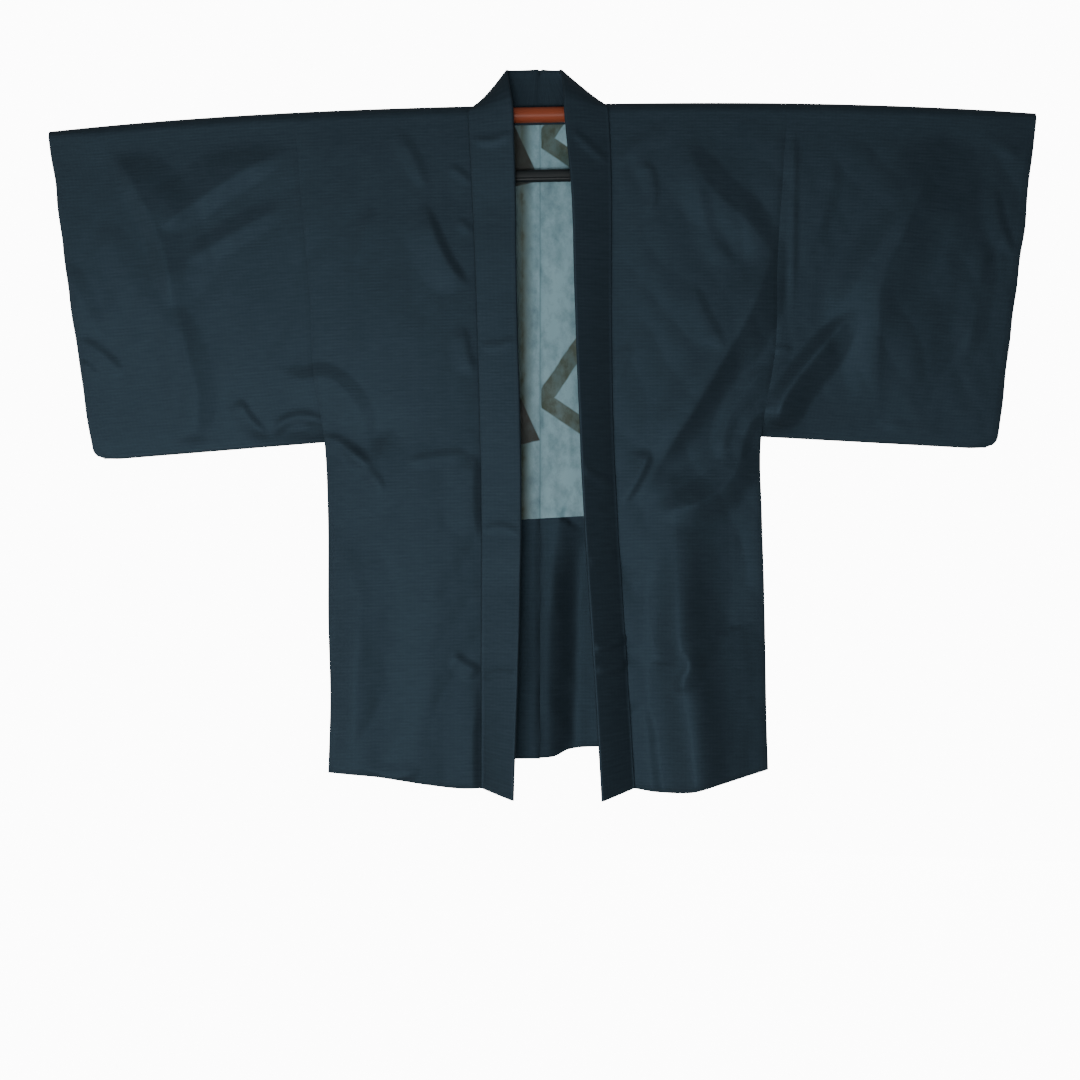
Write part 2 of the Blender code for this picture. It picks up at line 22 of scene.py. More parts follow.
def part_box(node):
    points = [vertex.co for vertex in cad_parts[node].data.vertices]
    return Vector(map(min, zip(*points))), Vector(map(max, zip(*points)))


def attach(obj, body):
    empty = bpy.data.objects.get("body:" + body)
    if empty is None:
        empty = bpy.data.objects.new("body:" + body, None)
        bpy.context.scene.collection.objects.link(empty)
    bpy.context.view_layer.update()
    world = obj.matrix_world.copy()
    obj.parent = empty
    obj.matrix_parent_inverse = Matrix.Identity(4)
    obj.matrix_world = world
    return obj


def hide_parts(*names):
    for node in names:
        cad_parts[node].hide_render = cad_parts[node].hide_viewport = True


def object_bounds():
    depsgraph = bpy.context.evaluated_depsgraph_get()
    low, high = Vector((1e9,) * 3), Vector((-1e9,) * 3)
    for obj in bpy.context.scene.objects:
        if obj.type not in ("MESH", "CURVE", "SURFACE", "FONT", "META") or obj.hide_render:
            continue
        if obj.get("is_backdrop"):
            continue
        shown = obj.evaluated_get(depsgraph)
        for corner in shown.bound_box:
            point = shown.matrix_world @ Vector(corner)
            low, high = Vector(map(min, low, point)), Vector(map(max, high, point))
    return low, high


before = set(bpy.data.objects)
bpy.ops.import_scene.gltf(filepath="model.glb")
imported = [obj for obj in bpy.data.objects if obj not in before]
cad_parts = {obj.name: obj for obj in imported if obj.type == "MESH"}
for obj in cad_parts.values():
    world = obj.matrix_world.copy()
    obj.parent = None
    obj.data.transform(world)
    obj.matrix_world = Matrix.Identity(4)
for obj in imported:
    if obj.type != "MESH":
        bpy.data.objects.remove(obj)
packed_box = [list(corner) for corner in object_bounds()]
print("packed model", [round(high - low, 3) for low, high in zip(*packed_box)], "m")

# %% [markdown]
# ## The floor, the lights and the camera
#
# The jacket hangs in front of nothing but white, above a pale floor. A dark cloth shows its folds
# only when light comes from low down or from one side. So the main lamp stands low in front, a
# little to the left, with a second one further round and two soft ones that keep the shadows open.
# One more stands low behind the jacket, for its back. The surroundings look white, but they light
# the cloth only a little, or the navy would turn grey. The floor gives out its own white and has a
# dark paint, so that no lamp leaves a mark on it.

# %% Floor and surroundings
FLOOR_Z = -1.42
FLOOR_RADIUS = 14.0
FLOOR_TONE = 0.02
SKY_SEEN = 12.0
SKY_LIGHT = 0.22

world = bpy.data.worlds.new("white_room")
bpy.context.scene.world = world
world.use_nodes = True
sky = world.node_tree.nodes["Background"]
sky.inputs["Color"].default_value = (1, 1, 1, 1)
paths = world.node_tree.nodes.new("ShaderNodeLightPath")
strength = world.node_tree.nodes.new("ShaderNodeMapRange")
strength.inputs["To Min"].default_value = SKY_LIGHT
strength.inputs["To Max"].default_value = SKY_SEEN
world.node_tree.links.new(paths.outputs["Is Camera Ray"], strength.inputs["Value"])
world.node_tree.links.new(strength.outputs["Result"], sky.inputs["Strength"])

ground = bmesh.new()
bmesh.ops.create_circle(ground, cap_ends=True, segments=96, radius=FLOOR_RADIUS)
bmesh.ops.translate(ground, verts=ground.verts, vec=(0, 0, FLOOR_Z))
floor_mesh = bpy.data.meshes.new("floor")
ground.to_mesh(floor_mesh)
ground.free()
floor = bpy.data.objects.new("floor", floor_mesh)
bpy.context.scene.collection.objects.link(floor)
floor_paint = bpy.data.materials.new("floor_paint")
floor_paint.use_nodes = True
floor_shader = floor_paint.node_tree.nodes["Principled BSDF"]
floor_shader.inputs["Base Color"].default_value = (FLOOR_TONE, FLOOR_TONE, FLOOR_TONE, 1)
floor_shader.inputs["Roughness"].default_value = 0.9
floor_shader.inputs["Specular IOR Level"].default_value = 0.1
floor_shader.inputs["Emission Color"].default_value = (1, 1, 1, 1)
floor_shader.inputs["Emission Strength"].default_value = SKY_SEEN
floor_mesh.materials.append(floor_paint)
floor.visible_diffuse = floor.visible_glossy = False
floor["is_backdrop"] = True
print("floor at", FLOOR_Z, "m")

# %% Lamps
LAMP_AIM = Vector((0, 0, -0.5))
Lamp = namedtuple("Lamp", "name place size watts")
LAMPS = (
    Lamp("key_low_left", (-0.46, -3.32, -1.18), 0.9, 46),
    Lamp("side_low_left", (-1.70, -2.90, -1.15), 0.9, 18),
    Lamp("fill_from_left", (-3.3, -1.9, -0.9), 1.8, 22),
    Lamp("fill_from_right", (0.45, -3.5, -0.7), 1.2, 8),
    Lamp("back_low", (0.9, 3.3, -1.1), 1.2, 62),
)
for lamp in LAMPS:
    light = bpy.data.lights.new(lamp.name, "AREA")
    light.size = lamp.size
    light.energy = lamp.watts
    stand = bpy.data.objects.new(lamp.name, light)
    stand.location = lamp.place
    towards = LAMP_AIM - Vector(lamp.place)
    stand.rotation_euler = towards.to_track_quat("-Z", "Y").to_euler()
    bpy.context.scene.collection.objects.link(stand)
print(len(LAMPS), "lamps")

# %% Camera
VIEW_DISTANCE = 3.2
VIEW_HEIGHT = -0.5695
VIEW_WIDTH = 1.447
camera = bpy.data.cameras.new("camera")
camera.lens = camera.sensor_width * VIEW_DISTANCE / VIEW_WIDTH
viewer = bpy.data.objects.new("camera", camera)
viewer.location = (0, -VIEW_DISTANCE, VIEW_HEIGHT)
viewer.rotation_euler = (math.radians(90), 0, 0)
bpy.context.scene.collection.objects.link(viewer)
bpy.context.scene.camera = viewer
print("camera", VIEW_DISTANCE, "m in front, lens", round(camera.lens, 1), "mm")

# %% [markdown]
# ## The sizes of the jacket
#
# The tables below are what a maker would measure on the hanging jacket, in metres from the middle
# of the rod. +X is the wearer's left, -Y is the front and +Z is up. The two sides differ, because
# cloth on a rod never hangs quite evenly. A smooth curve through a table's rows gives the values
# between them.

# %% Tables of the outline
SIDES = {"right": -1, "left": 1}
ROD_RADIUS = 0.0105
ROD_REACH = 0.560
ROD_TILT = 0.019
DROOP = 0.0222
DROOP_REACH = 0.643
DROOP_POWER = 2.5
WRAP_RADIUS = 0.0135
UNDERARM_Z = {"right": -0.4365, "left": -0.4290}
NECK_BACK_HALF = 0.074
NECK_TURN_IN = 1.35
SEAM_GAP = -0.0002

Opening = namedtuple("Opening", "z seam fold forward")
OPENING = {
    "right": (
        Opening(0.00, 0.094, 0.036, 0.0075),
        Opening(-0.10, 0.089, 0.033, 0.0040),
        Opening(-0.25, 0.083, 0.031, 0.0030),
        Opening(-0.43, 0.078, 0.026, 0.0040),
        Opening(-0.54, 0.076, 0.025, 0.0060),
        Opening(-0.72, 0.076, 0.028, 0.0180),
        Opening(-0.91, 0.076, 0.035, 0.0280),
    ),
    "left": (
        Opening(0.00, 0.089, 0.032, 0.0075),
        Opening(-0.05, 0.092, 0.037, 0.0120),
        Opening(-0.10, 0.093, 0.0415, 0.0160),
        Opening(-0.25, 0.093, 0.046, 0.0200),
        Opening(-0.41, 0.095, 0.052, 0.0220),
        Opening(-0.54, 0.101, 0.058, 0.0220),
        Opening(-0.72, 0.1125, 0.0695, 0.0240),
        Opening(-0.91, 0.125, 0.082, 0.0240),
    ),
}
Side = namedtuple("Side", "z x")
SIDE = {
    "right": (
        Side(0.00, 0.327),
        Side(-0.10, 0.320),
        Side(-0.25, 0.307),
        Side(-0.34, 0.303),
        Side(-0.4375, 0.288),
        Side(-0.54, 0.283),
        Side(-0.675, 0.282),
        Side(-0.78, 0.279),
        Side(-0.88, 0.2815),
    ),
    "left": (
        Side(0.00, 0.3295),
        Side(-0.10, 0.323),
        Side(-0.20, 0.3165),
        Side(-0.31, 0.3145),
        Side(-0.4375, 0.295),
        Side(-0.54, 0.296),
        Side(-0.65, 0.299),
        Side(-0.81, 0.3015),
        Side(-0.88, 0.3035),
    ),
}
Hem = namedtuple("Hem", "across z")
FRONT_HEM = {
    "right": (
        Hem(0, -0.900), Hem(0.15, -0.900), Hem(0.35, -0.895), Hem(0.66, -0.885), Hem(1, -0.8785),
    ),
    "left": (
        Hem(0, -0.900), Hem(0.2, -0.905), Hem(0.41, -0.904), Hem(0.62, -0.8945), Hem(1, -0.8745),
    ),
}
COLLAR_TIP_DROP = {"right": 0.0135, "left": 0.0150}
BACK_HEM = {
    "right": (Hem(0, -0.865), Hem(0.3, -0.866), Hem(0.7, -0.862), Hem(1, -0.872)),
    "left": (
        Hem(0, -0.864), Hem(0.06, -0.862), Hem(0.12, -0.853), Hem(0.6, -0.860), Hem(1, -0.870),
    ),
}
Depth = namedtuple("Depth", "z opening side centre_back")
DEPTH = (
    Depth(0.00, 0.0135, 0.0135, 0.0150),
    Depth(-0.10, 0.0155, 0.0150, 0.0165),
    Depth(-0.25, 0.0180, 0.0160, 0.0190),
    Depth(-0.40, 0.0200, 0.0130, 0.0210),
    Depth(-0.4375, 0.0205, 0.0125, 0.0215),
    Depth(-0.55, 0.0210, 0.0160, 0.0230),
    Depth(-0.70, 0.0220, 0.0220, 0.0250),
    Depth(-0.91, 0.0230, 0.0280, 0.0270),
)
PANEL_BULGE = 0.006
BULGE_FALL = 0.3


def read(rows, at, column):
    """A column of a table, on a smooth curve through its rows. The first column is the key."""
    keys = [row[0] for row in rows]
    values = [getattr(row, column) for row in rows]
    if keys[0] > keys[-1]:
        keys, values = keys[::-1], values[::-1]
    if at <= keys[0]:
        return values[0]
    if at >= keys[-1]:
        return values[-1]
    i = max(k for k in range(len(keys) - 1) if keys[k] <= at)
    step = keys[i + 1] - keys[i]
    slope = (values[i + 1] - values[i]) / step
    before = (values[i] - values[i - 1]) / (keys[i] - keys[i - 1]) if i else slope
    last = i + 2 == len(keys)
    after = slope if last else (values[i + 2] - values[i + 1]) / (keys[i + 2] - keys[i + 1])
    start, end = (before + slope) / 2, (slope + after) / 2
    t = (at - keys[i]) / step
    return (
        values[i] * (1 + 2 * t) * (1 - t) ** 2
        + values[i + 1] * t * t * (3 - 2 * t)
        + start * step * t * (1 - t) ** 2
        - end * step * t * t * (1 - t)
    )


def mix(a, b, share):
    return a + (b - a) * share


def clamp(share):
    return min(1.0, max(0.0, share))


def ease(share):
    """0 below 0, 1 above 1, and a soft S between."""
    share = clamp(share)
    return share * share * (3 - 2 * share)


def bulge(z, share):
    """How far a panel stands out between its two edges. Just under the rod it is held flat."""
    return PANEL_BULGE * clamp(-z / BULGE_FALL) * 4 * share * (1 - share)


def rod_height(x):
    """Height of the rod's axis: it tilts a little and bows down towards its ends."""
    return ROD_TILT * x - DROOP * (abs(x) / DROOP_REACH) ** DROOP_POWER


# %% [markdown]
# ## The folds and creases
#
# The big folds are the ones that change the outline: the fall of the lower fronts and the flutes of
# the back. The creases are what the eye reads as cloth: drag lines that run from the underarm to
# the shoulder and into the sleeve, sharp little pinches beside the collar, and soft waves at the
# cuffs. They could come from a cloth simulation, but that would put them where it likes. Here each
# one is laid along its own listed line. Crisp silk breaks into facets more than waves: a crease
# climbs slowly on one side and falls steeply on the other. So each has a height (+ stands out,
# - dips in), the width of its steep flank, which is on the right of its line as the line runs, and
# the width of its gentle one, and then the points of its line.

# %% Big folds and listed creases
Fold = namedtuple("Fold", "face height width line")
FOLD_ROWS = (
    ("front", 0.010, 0.030, (0.184, -0.52), (0.188, -0.70), (0.200, -0.79), (0.214, -0.92)),
    ("front", -0.0005, 0.022, (0.240, -0.50), (0.243, -0.66), (0.250, -0.80), (0.262, -0.92)),
    ("front", -0.005, 0.024, (0.306, -0.24), (0.268, -0.33), (0.222, -0.41), (0.172, -0.47)),
    ("front", 0.004, 0.026, (-0.255, -0.58), (-0.247, -0.70), (-0.252, -0.92)),
    ("front", -0.004, 0.026, (-0.350, -0.33), (-0.289, -0.345), (-0.215, -0.425)),
    ("front", 0.0018, 0.028, (-0.140, -0.56), (-0.150, -0.74), (-0.165, -0.92)),
    ("front", -0.002, 0.026, (0.560, -0.02), (0.520, -0.18), (0.470, -0.30), (0.455, -0.41)),
    ("front", 0.004, 0.026, (-0.530, -0.14), (-0.500, -0.26), (-0.475, -0.34), (-0.465, -0.44)),
    ("back", 0.007, 0.026, (-0.215, -0.44), (-0.222, -0.66), (-0.235, -0.92)),
    ("back", -0.005, 0.024, (-0.150, -0.40), (-0.155, -0.66), (-0.160, -0.92)),
    ("back", 0.006, 0.024, (-0.085, -0.50), (-0.090, -0.70), (-0.095, -0.92)),
    ("back", 0.009, 0.022, (0.050, -0.52), (0.048, -0.70), (0.045, -0.92)),
    ("back", 0.006, 0.026, (0.125, -0.46), (0.132, -0.66), (0.140, -0.92)),
    ("back", -0.005, 0.024, (0.190, -0.42), (0.196, -0.66), (0.205, -0.92)),
    ("back", -0.004, 0.026, (0.420, -0.06), (0.450, -0.22), (0.470, -0.40)),
    ("back", -0.004, 0.026, (-0.420, -0.06), (-0.455, -0.22), (-0.470, -0.40)),
)
FOLDS = [Fold(*row[:3], row[3:]) for row in FOLD_ROWS]
FOLD_RISE = 0.14
CENTRE_SEAM_HOLD = 0.012
RIM_HOLD = 0.03

Crease = namedtuple("Crease", "height steep gentle line")
CREASE_ROWS = {
    "front": (
        # the wearer's left front: drag lines from the underarm and the shoulder
        (0.0095, 0.040, 0.052, (0.130, -0.530), (0.168, -0.455), (0.203, -0.400), (0.240, -0.337),
         (0.275, -0.275), (0.300, -0.215), (0.318, -0.160)),
        (0.0030, 0.022, 0.020, (0.246, -0.470), (0.245, -0.440), (0.252, -0.406), (0.284, -0.357),
         (0.308, -0.338)),
        (0.0026, 0.013, 0.016, (0.262, -0.470), (0.281, -0.412), (0.312, -0.388)),
        (0.0052, 0.030, 0.050, (0.332, -0.220), (0.284, -0.152), (0.240, -0.112), (0.212, -0.078),
         (0.192, -0.034)),
        (0.0015, 0.007, 0.022, (0.123, -0.158), (0.142, -0.133), (0.153, -0.113), (0.148, -0.077),
         (0.140, -0.065), (0.173, -0.013)),
        (0.0016, 0.018, 0.020, (0.098, -0.072), (0.138, -0.038), (0.168, -0.016)),
        (0.0017, 0.014, 0.025, (0.258, -0.202), (0.226, -0.160), (0.203, -0.074)),
        (0.0020, 0.010, 0.024, (0.246, -0.318), (0.222, -0.274), (0.201, -0.225)),
        (0.0012, 0.008, 0.014, (0.100, -0.366), (0.112, -0.336), (0.120, -0.304)),
        (0.0034, 0.009, 0.026, (0.110, -0.524), (0.134, -0.480), (0.147, -0.450)),
        (0.0072, 0.030, 0.034, (0.272, -0.430), (0.262, -0.474), (0.236, -0.505), (0.202, -0.523),
         (0.155, -0.531)),
        (0.0060, 0.072, 0.040, (0.188, -0.750), (0.183, -0.690), (0.181, -0.600), (0.178, -0.525),
         (0.176, -0.470)),
        (0.0118, 0.106, 0.045, (0.230, -1.150), (0.209, -0.950), (0.205, -0.885), (0.197, -0.820),
         (0.186, -0.755), (0.196, -0.736), (0.182, -0.695), (0.180, -0.600)),
        (0.0030, 0.020, 0.012, (0.186, -0.776), (0.189, -0.756), (0.200, -0.735), (0.188, -0.712)),
        (0.0030, 0.014, 0.034, (0.299, -0.650), (0.300, -0.570), (0.296, -0.480)),
        (0.0030, 0.030, 0.008, (0.114, -0.722), (0.112, -0.690), (0.108, -0.640), (0.105, -0.600)),
        (0.0028, 0.028, 0.008, (0.121, -0.800), (0.118, -0.765), (0.114, -0.715)),
        (0.0028, 0.014, 0.020, (0.152, -0.935), (0.146, -0.860), (0.138, -0.785)),
        (0.0014, 0.018, 0.014, (0.128, -0.640), (0.140, -0.600), (0.138, -0.545)),
        # the wearer's left sleeve
        (0.0105, 0.034, 0.022, (0.318, -0.436), (0.323, -0.385), (0.368, -0.323), (0.422, -0.262)),
        (0.0026, 0.024, 0.034, (0.380, -0.300), (0.440, -0.198), (0.496, -0.118)),
        (0.0145, 0.125, 0.070, (0.452, -0.424), (0.452, -0.311), (0.453, -0.231), (0.480, -0.170),
         (0.511, -0.090), (0.545, -0.008)),
        (0.0017, 0.006, 0.010, (0.337, -0.272), (0.3385, -0.120), (0.340, 0.012)),
        (0.0024, 0.020, 0.032, (0.566, -0.340), (0.586, -0.240), (0.594, -0.165)),
        (0.0022, 0.009, 0.022, (0.632, -0.190), (0.614, -0.146), (0.604, -0.090)),
        (0.0018, 0.020, 0.016, (0.641, -0.062), (0.612, -0.036), (0.582, -0.026)),
        (0.0018, 0.012, 0.010, (0.545, -0.427), (0.500, -0.424), (0.446, -0.410)),
        (0.0014, 0.014, 0.024, (0.352, -0.200), (0.384, -0.120), (0.396, -0.060)),
        (0.0014, 0.006, 0.006, (0.336, -0.316), (0.322, -0.315), (0.308, -0.317)),
        # the wearer's right front
        (0.0042, 0.011, 0.040, (-0.096, -0.232), (-0.119, -0.206), (-0.140, -0.164),
         (-0.155, -0.118)),
        (0.0019, 0.012, 0.018, (-0.150, -0.104), (-0.172, -0.055), (-0.195, -0.012)),
        (0.0014, 0.012, 0.014, (-0.247, -0.208), (-0.234, -0.165), (-0.222, -0.126)),
        (0.0012, 0.007, 0.013, (-0.092, -0.094), (-0.106, -0.080), (-0.120, -0.071)),
        (0.0011, 0.007, 0.013, (-0.090, -0.160), (-0.100, -0.150), (-0.108, -0.142)),
        (0.0019, 0.008, 0.024, (-0.088, -0.348), (-0.098, -0.318), (-0.102, -0.284)),
        (0.0029, 0.010, 0.018, (-0.222, -0.472), (-0.256, -0.446), (-0.291, -0.429)),
        (0.0023, 0.010, 0.016, (-0.206, -0.506), (-0.232, -0.473), (-0.264, -0.443)),
        (0.0016, 0.011, 0.014, (-0.092, -0.456), (-0.135, -0.459), (-0.178, -0.467)),
        (0.0032, 0.011, 0.040, (-0.083, -0.575), (-0.0885, -0.505), (-0.086, -0.454)),
        (0.0025, 0.009, 0.018, (-0.078, -0.744), (-0.100, -0.735), (-0.116, -0.720)),
        (0.0032, 0.011, 0.040, (-0.086, -0.940), (-0.089, -0.850), (-0.084, -0.760)),
        (0.0040, 0.050, 0.036, (-0.250, -0.940), (-0.2445, -0.761), (-0.238, -0.660),
         (-0.254, -0.610), (-0.270, -0.548)),
        (0.0020, 0.018, 0.012, (-0.156, -0.872), (-0.196, -0.884), (-0.236, -0.870)),
        (0.0014, 0.016, 0.024, (-0.196, -0.420), (-0.216, -0.470), (-0.206, -0.540)),
        # the wearer's right sleeve
        (0.0080, 0.062, 0.024, (-0.488, -0.262), (-0.497, -0.205), (-0.521, -0.134),
         (-0.578, -0.034)),
        (0.0026, 0.026, 0.026, (-0.460, -0.446), (-0.457, -0.376), (-0.472, -0.314),
         (-0.488, -0.250)),
        (0.0010, 0.014, 0.022, (-0.490, -0.400), (-0.493, -0.330), (-0.500, -0.250)),
        (0.0046, 0.046, 0.024, (-0.335, -0.046), (-0.400, -0.080), (-0.472, -0.128),
         (-0.506, -0.156)),
        (0.0024, 0.020, 0.022, (-0.342, -0.122), (-0.418, -0.166), (-0.474, -0.200)),
        (0.0024, 0.026, 0.030, (-0.503, -0.296), (-0.552, -0.212), (-0.582, -0.144)),
        (0.0027, 0.010, 0.020, (-0.556, -0.348), (-0.584, -0.322), (-0.614, -0.300)),
        (0.0018, 0.007, 0.010, (-0.588, -0.354), (-0.602, -0.340), (-0.614, -0.330)),
        (0.0024, 0.018, 0.022, (-0.588, -0.300), (-0.610, -0.250), (-0.634, -0.196)),
        (0.0033, 0.009, 0.022, (-0.350, -0.448), (-0.388, -0.408), (-0.403, -0.380)),
        (0.0024, 0.009, 0.014, (-0.283, -0.416), (-0.312, -0.404), (-0.343, -0.412),
         (-0.362, -0.442)),
        (0.0015, 0.008, 0.010, (-0.300, -0.440), (-0.318, -0.424), (-0.334, -0.428),
         (-0.344, -0.446)),
        (0.0038, 0.020, 0.040, (-0.226, -0.450), (-0.236, -0.405), (-0.262, -0.368),
         (-0.290, -0.352), (-0.318, -0.355), (-0.362, -0.338)),
    ),
    "back": (
        # drag lines from both underarms towards the shoulder blades
        (0.0050, 0.026, 0.034, (-0.158, -0.486), (-0.205, -0.420), (-0.255, -0.350),
         (-0.302, -0.246)),
        (0.0040, 0.018, 0.020, (-0.238, -0.476), (-0.276, -0.430), (-0.310, -0.388)),
        (0.0040, 0.020, 0.022, (-0.322, -0.418), (-0.350, -0.350), (-0.412, -0.270)),
        (0.0046, 0.028, 0.034, (0.188, -0.492), (0.228, -0.425), (0.272, -0.345), (0.310, -0.256)),
        (0.0044, 0.018, 0.018, (0.262, -0.486), (0.292, -0.436), (0.320, -0.398)),
        (0.0036, 0.020, 0.024, (0.330, -0.412), (0.368, -0.325), (0.436, -0.256)),
        # shoulder, sleeve and cuff
        (0.0026, 0.018, 0.026, (-0.222, -0.150), (-0.165, -0.092), (-0.118, -0.028)),
        (0.0022, 0.016, 0.024, (0.106, -0.034), (0.150, -0.104), (0.226, -0.168)),
        (0.0020, 0.012, 0.018, (0.020, -0.030), (0.052, -0.074), (0.060, -0.130)),
        (0.0060, 0.070, 0.045, (-0.500, -0.380), (-0.530, -0.220), (-0.566, -0.040)),
        (0.0055, 0.060, 0.045, (0.516, -0.390), (0.548, -0.230), (0.590, -0.050)),
        (0.0024, 0.018, 0.024, (0.456, -0.226), (0.404, -0.160), (0.366, -0.070)),
        (0.0022, 0.016, 0.020, (-0.372, -0.066), (-0.396, -0.140), (-0.452, -0.196)),
        (0.0022, 0.010, 0.018, (-0.562, -0.352), (-0.580, -0.296), (-0.612, -0.244)),
        (0.0020, 0.010, 0.016, (0.596, -0.232), (0.602, -0.170), (0.632, -0.118)),
        # the lower back, and the centre seam, which sinks in
        (0.0030, 0.034, 0.024, (-0.224, -0.885), (-0.214, -0.680), (-0.196, -0.530)),
        (0.0024, 0.020, 0.026, (-0.116, -0.885), (-0.124, -0.720), (-0.118, -0.590)),
        (0.0030, 0.026, 0.034, (0.142, -0.885), (0.127, -0.660), (0.116, -0.510)),
        (0.0020, 0.016, 0.020, (0.244, -0.885), (0.252, -0.760), (0.238, -0.630)),
        (-0.0040, 0.038, 0.030, (0.018, -0.950), (0.012, -0.730), (0.024, -0.555), (0.032, -0.535)),
    ),
}
CREASES = {
    face: [Crease(*row[:3], row[3:]) for row in rows] for face, rows in CREASE_ROWS.items()
}


def through(a, b, c, d, t):
    """A value or point between b and c, on a smooth curve that also heeds a and d."""
    return (b * 2 + (c - a) * t + (a * 2 - b * 5 + c * 4 - d) * t * t
            + (b * 3 - a - c * 3 + d) * t**3) * 0.5


def smooth_line(points, steps):
    """Points along a smooth curve through the given ones, with some steps between each pair."""
    ends = [points[0], *points, points[-1]]
    made = []
    for p0, p1, p2, p3 in zip(ends, ends[1:], ends[2:], ends[3:]):
        for k in range(steps):
            made.append(tuple(through(*four, k / steps) for four in zip(p0, p1, p2, p3)))
    made.append(tuple(points[-1]))
    return made


LINE_STEPS = 4
STEEP_CRISPNESS = 0.9
GENTLE_CRISPNESS = 0.45
FADE_SHARE = 0.30
END_WIDTH = 0.45
FOLD_REACH = 3


def reach_box(line, margin):
    xs, zs = [p[0] for p in line], [p[1] for p in line]
    return min(xs) - margin, max(xs) + margin, min(zs) - margin, max(zs) + margin


def lay(creases):
    """Each crease with its smooth line and the box that it can reach."""
    laid = []
    for crease in creases:
        box = reach_box(crease.line, max(crease.steep, crease.gentle))
        laid.append((crease, smooth_line(crease.line, LINE_STEPS), box))
    return laid


LAID = {face: lay(creases) for face, creases in CREASES.items()}
LAID_FOLDS = [(fold, reach_box(fold.line, FOLD_REACH * fold.width)) for fold in FOLDS]


def nearest_on(line, x, z):
    """Signed distance to a line of points, and the nearest point's place on it, from 0 to 1."""
    best, share, sign = 1e9, 0.0, 1.0
    count = len(line) - 1
    for k in range(count):
        ax, az = line[k]
        dx, dz = line[k + 1][0] - ax, line[k + 1][1] - az
        along = clamp(((x - ax) * dx + (z - az) * dz) / (dx * dx + dz * dz))
        px, pz = x - ax - along * dx, z - az - along * dz
        squared = px * px + pz * pz
        if squared < best:
            best, share = squared, (k + along) / count
            sign = 1.0 if dx * pz - dz * px > 0 else -1.0
    return math.sqrt(best) * sign, share


def crease_height(laid, x, z):
    """The height of a set of listed creases at (x, z). The steep flank is on a line's right."""
    total = 0.0
    for crease, line, (low_x, high_x, low_z, high_z) in laid:
        if not (low_x < x < high_x and low_z < z < high_z):
            continue
        off, share = nearest_on(line, x, z)
        fade = ease(share / FADE_SHARE) * ease((1 - share) / FADE_SHARE)
        width = (crease.steep if off < 0 else crease.gentle) * (END_WIDTH + (1 - END_WIDTH) * fade)
        away = abs(off) / width
        if away < 1:
            crisp = STEEP_CRISPNESS if off < 0 else GENTLE_CRISPNESS
            total += crease.height * fade * mix(1 - ease(away), 1 - away, crisp)
    return total


def fold_height(face, x, z):
    """The height of the big folds of one face at (x, z). A fold rises from its top end."""
    total = 0.0
    for fold, (low_x, high_x, low_z, high_z) in LAID_FOLDS:
        if fold.face == face and low_x < x < high_x and low_z < z < high_z:
            off, _ = nearest_on(fold.line, x, z)
            rise = ease((fold.line[0][1] - z) / FOLD_RISE)
            total += fold.height * rise * math.exp(-((off / fold.width) ** 2))
    if face == "back":
        total *= x * x / (x * x + CENTRE_SEAM_HOLD**2)
    return total


WAVER = 0.0011
CRUMPLE = 0.0015
CRUMPLE_SLANT = 0.35
RIPPLE = 0.0003
RIM_START = 0.4


def relief(face, x, z):
    """All that moves a face of the jacket in or out: folds, creases and the cloth's own waver."""
    seed = 3.0 if face == "front" else 11.0
    wave = WAVER * noise.noise(Vector((x / 0.055, z / 0.150, seed)))
    wave += RIPPLE * noise.noise(Vector((x / 0.016, z / 0.034, seed + 5)))
    slanted = x + CRUMPLE_SLANT * z if x > 0 else x - CRUMPLE_SLANT * z
    wave += CRUMPLE * abs(noise.noise(Vector((slanted / 0.050, z / 0.105, seed + 9))))
    held = clamp((rod_height(x) - z) / RIM_HOLD - RIM_START)
    return held * (fold_height(face, x, z) + crease_height(LAID[face], x, z) + wave)


print(sum(len(creases) for creases in CREASES.values()), "creases and", len(FOLDS), "big folds")

# %% [markdown]
# ## Making a piece of cloth
#
# Every piece starts as a flat grid from Blender's own operator. A function puts each of its points
# in place, and a second one gives the point's place on the flat cloth, in metres, which is kept as
# the UV map. The weave reads that map, so its ribs run with the cloth over every fold. A Solidify
# modifier gives the wall, and an Edge Split keeps the cut edges of that wall crisp.

# %% Grid, wall and cut
RIM_ANGLE = math.radians(55)


def grid_of(columns, rows, point, cut):
    """A grid with each vertex at point(column, row), and its place on the flat cloth in its UVs."""
    mesh = bmesh.new()
    flat = mesh.loops.layers.uv.new("cut")
    bmesh.ops.create_grid(mesh, x_segments=columns, y_segments=rows, size=0.5)
    placed = {}
    for vertex in mesh.verts:
        place = round((vertex.co.x + 0.5) * columns), round((vertex.co.y + 0.5) * rows)
        placed[place] = vertex
    of_vertex = {vertex: place for place, vertex in placed.items()}
    for face in mesh.faces:
        for loop in face.loops:
            loop[flat].uv = cut(*of_vertex[loop.vert])
    for place, vertex in placed.items():
        vertex.co = point(*place)
    return mesh, placed


def face_outwards(mesh, vertex, outwards):
    """Flips every face if the normal at one vertex doesn't point outwards."""
    mesh.normal_update()
    if vertex.normal.dot(outwards) < 0:
        bmesh.ops.reverse_faces(mesh, faces=mesh.faces[:])
        mesh.normal_update()


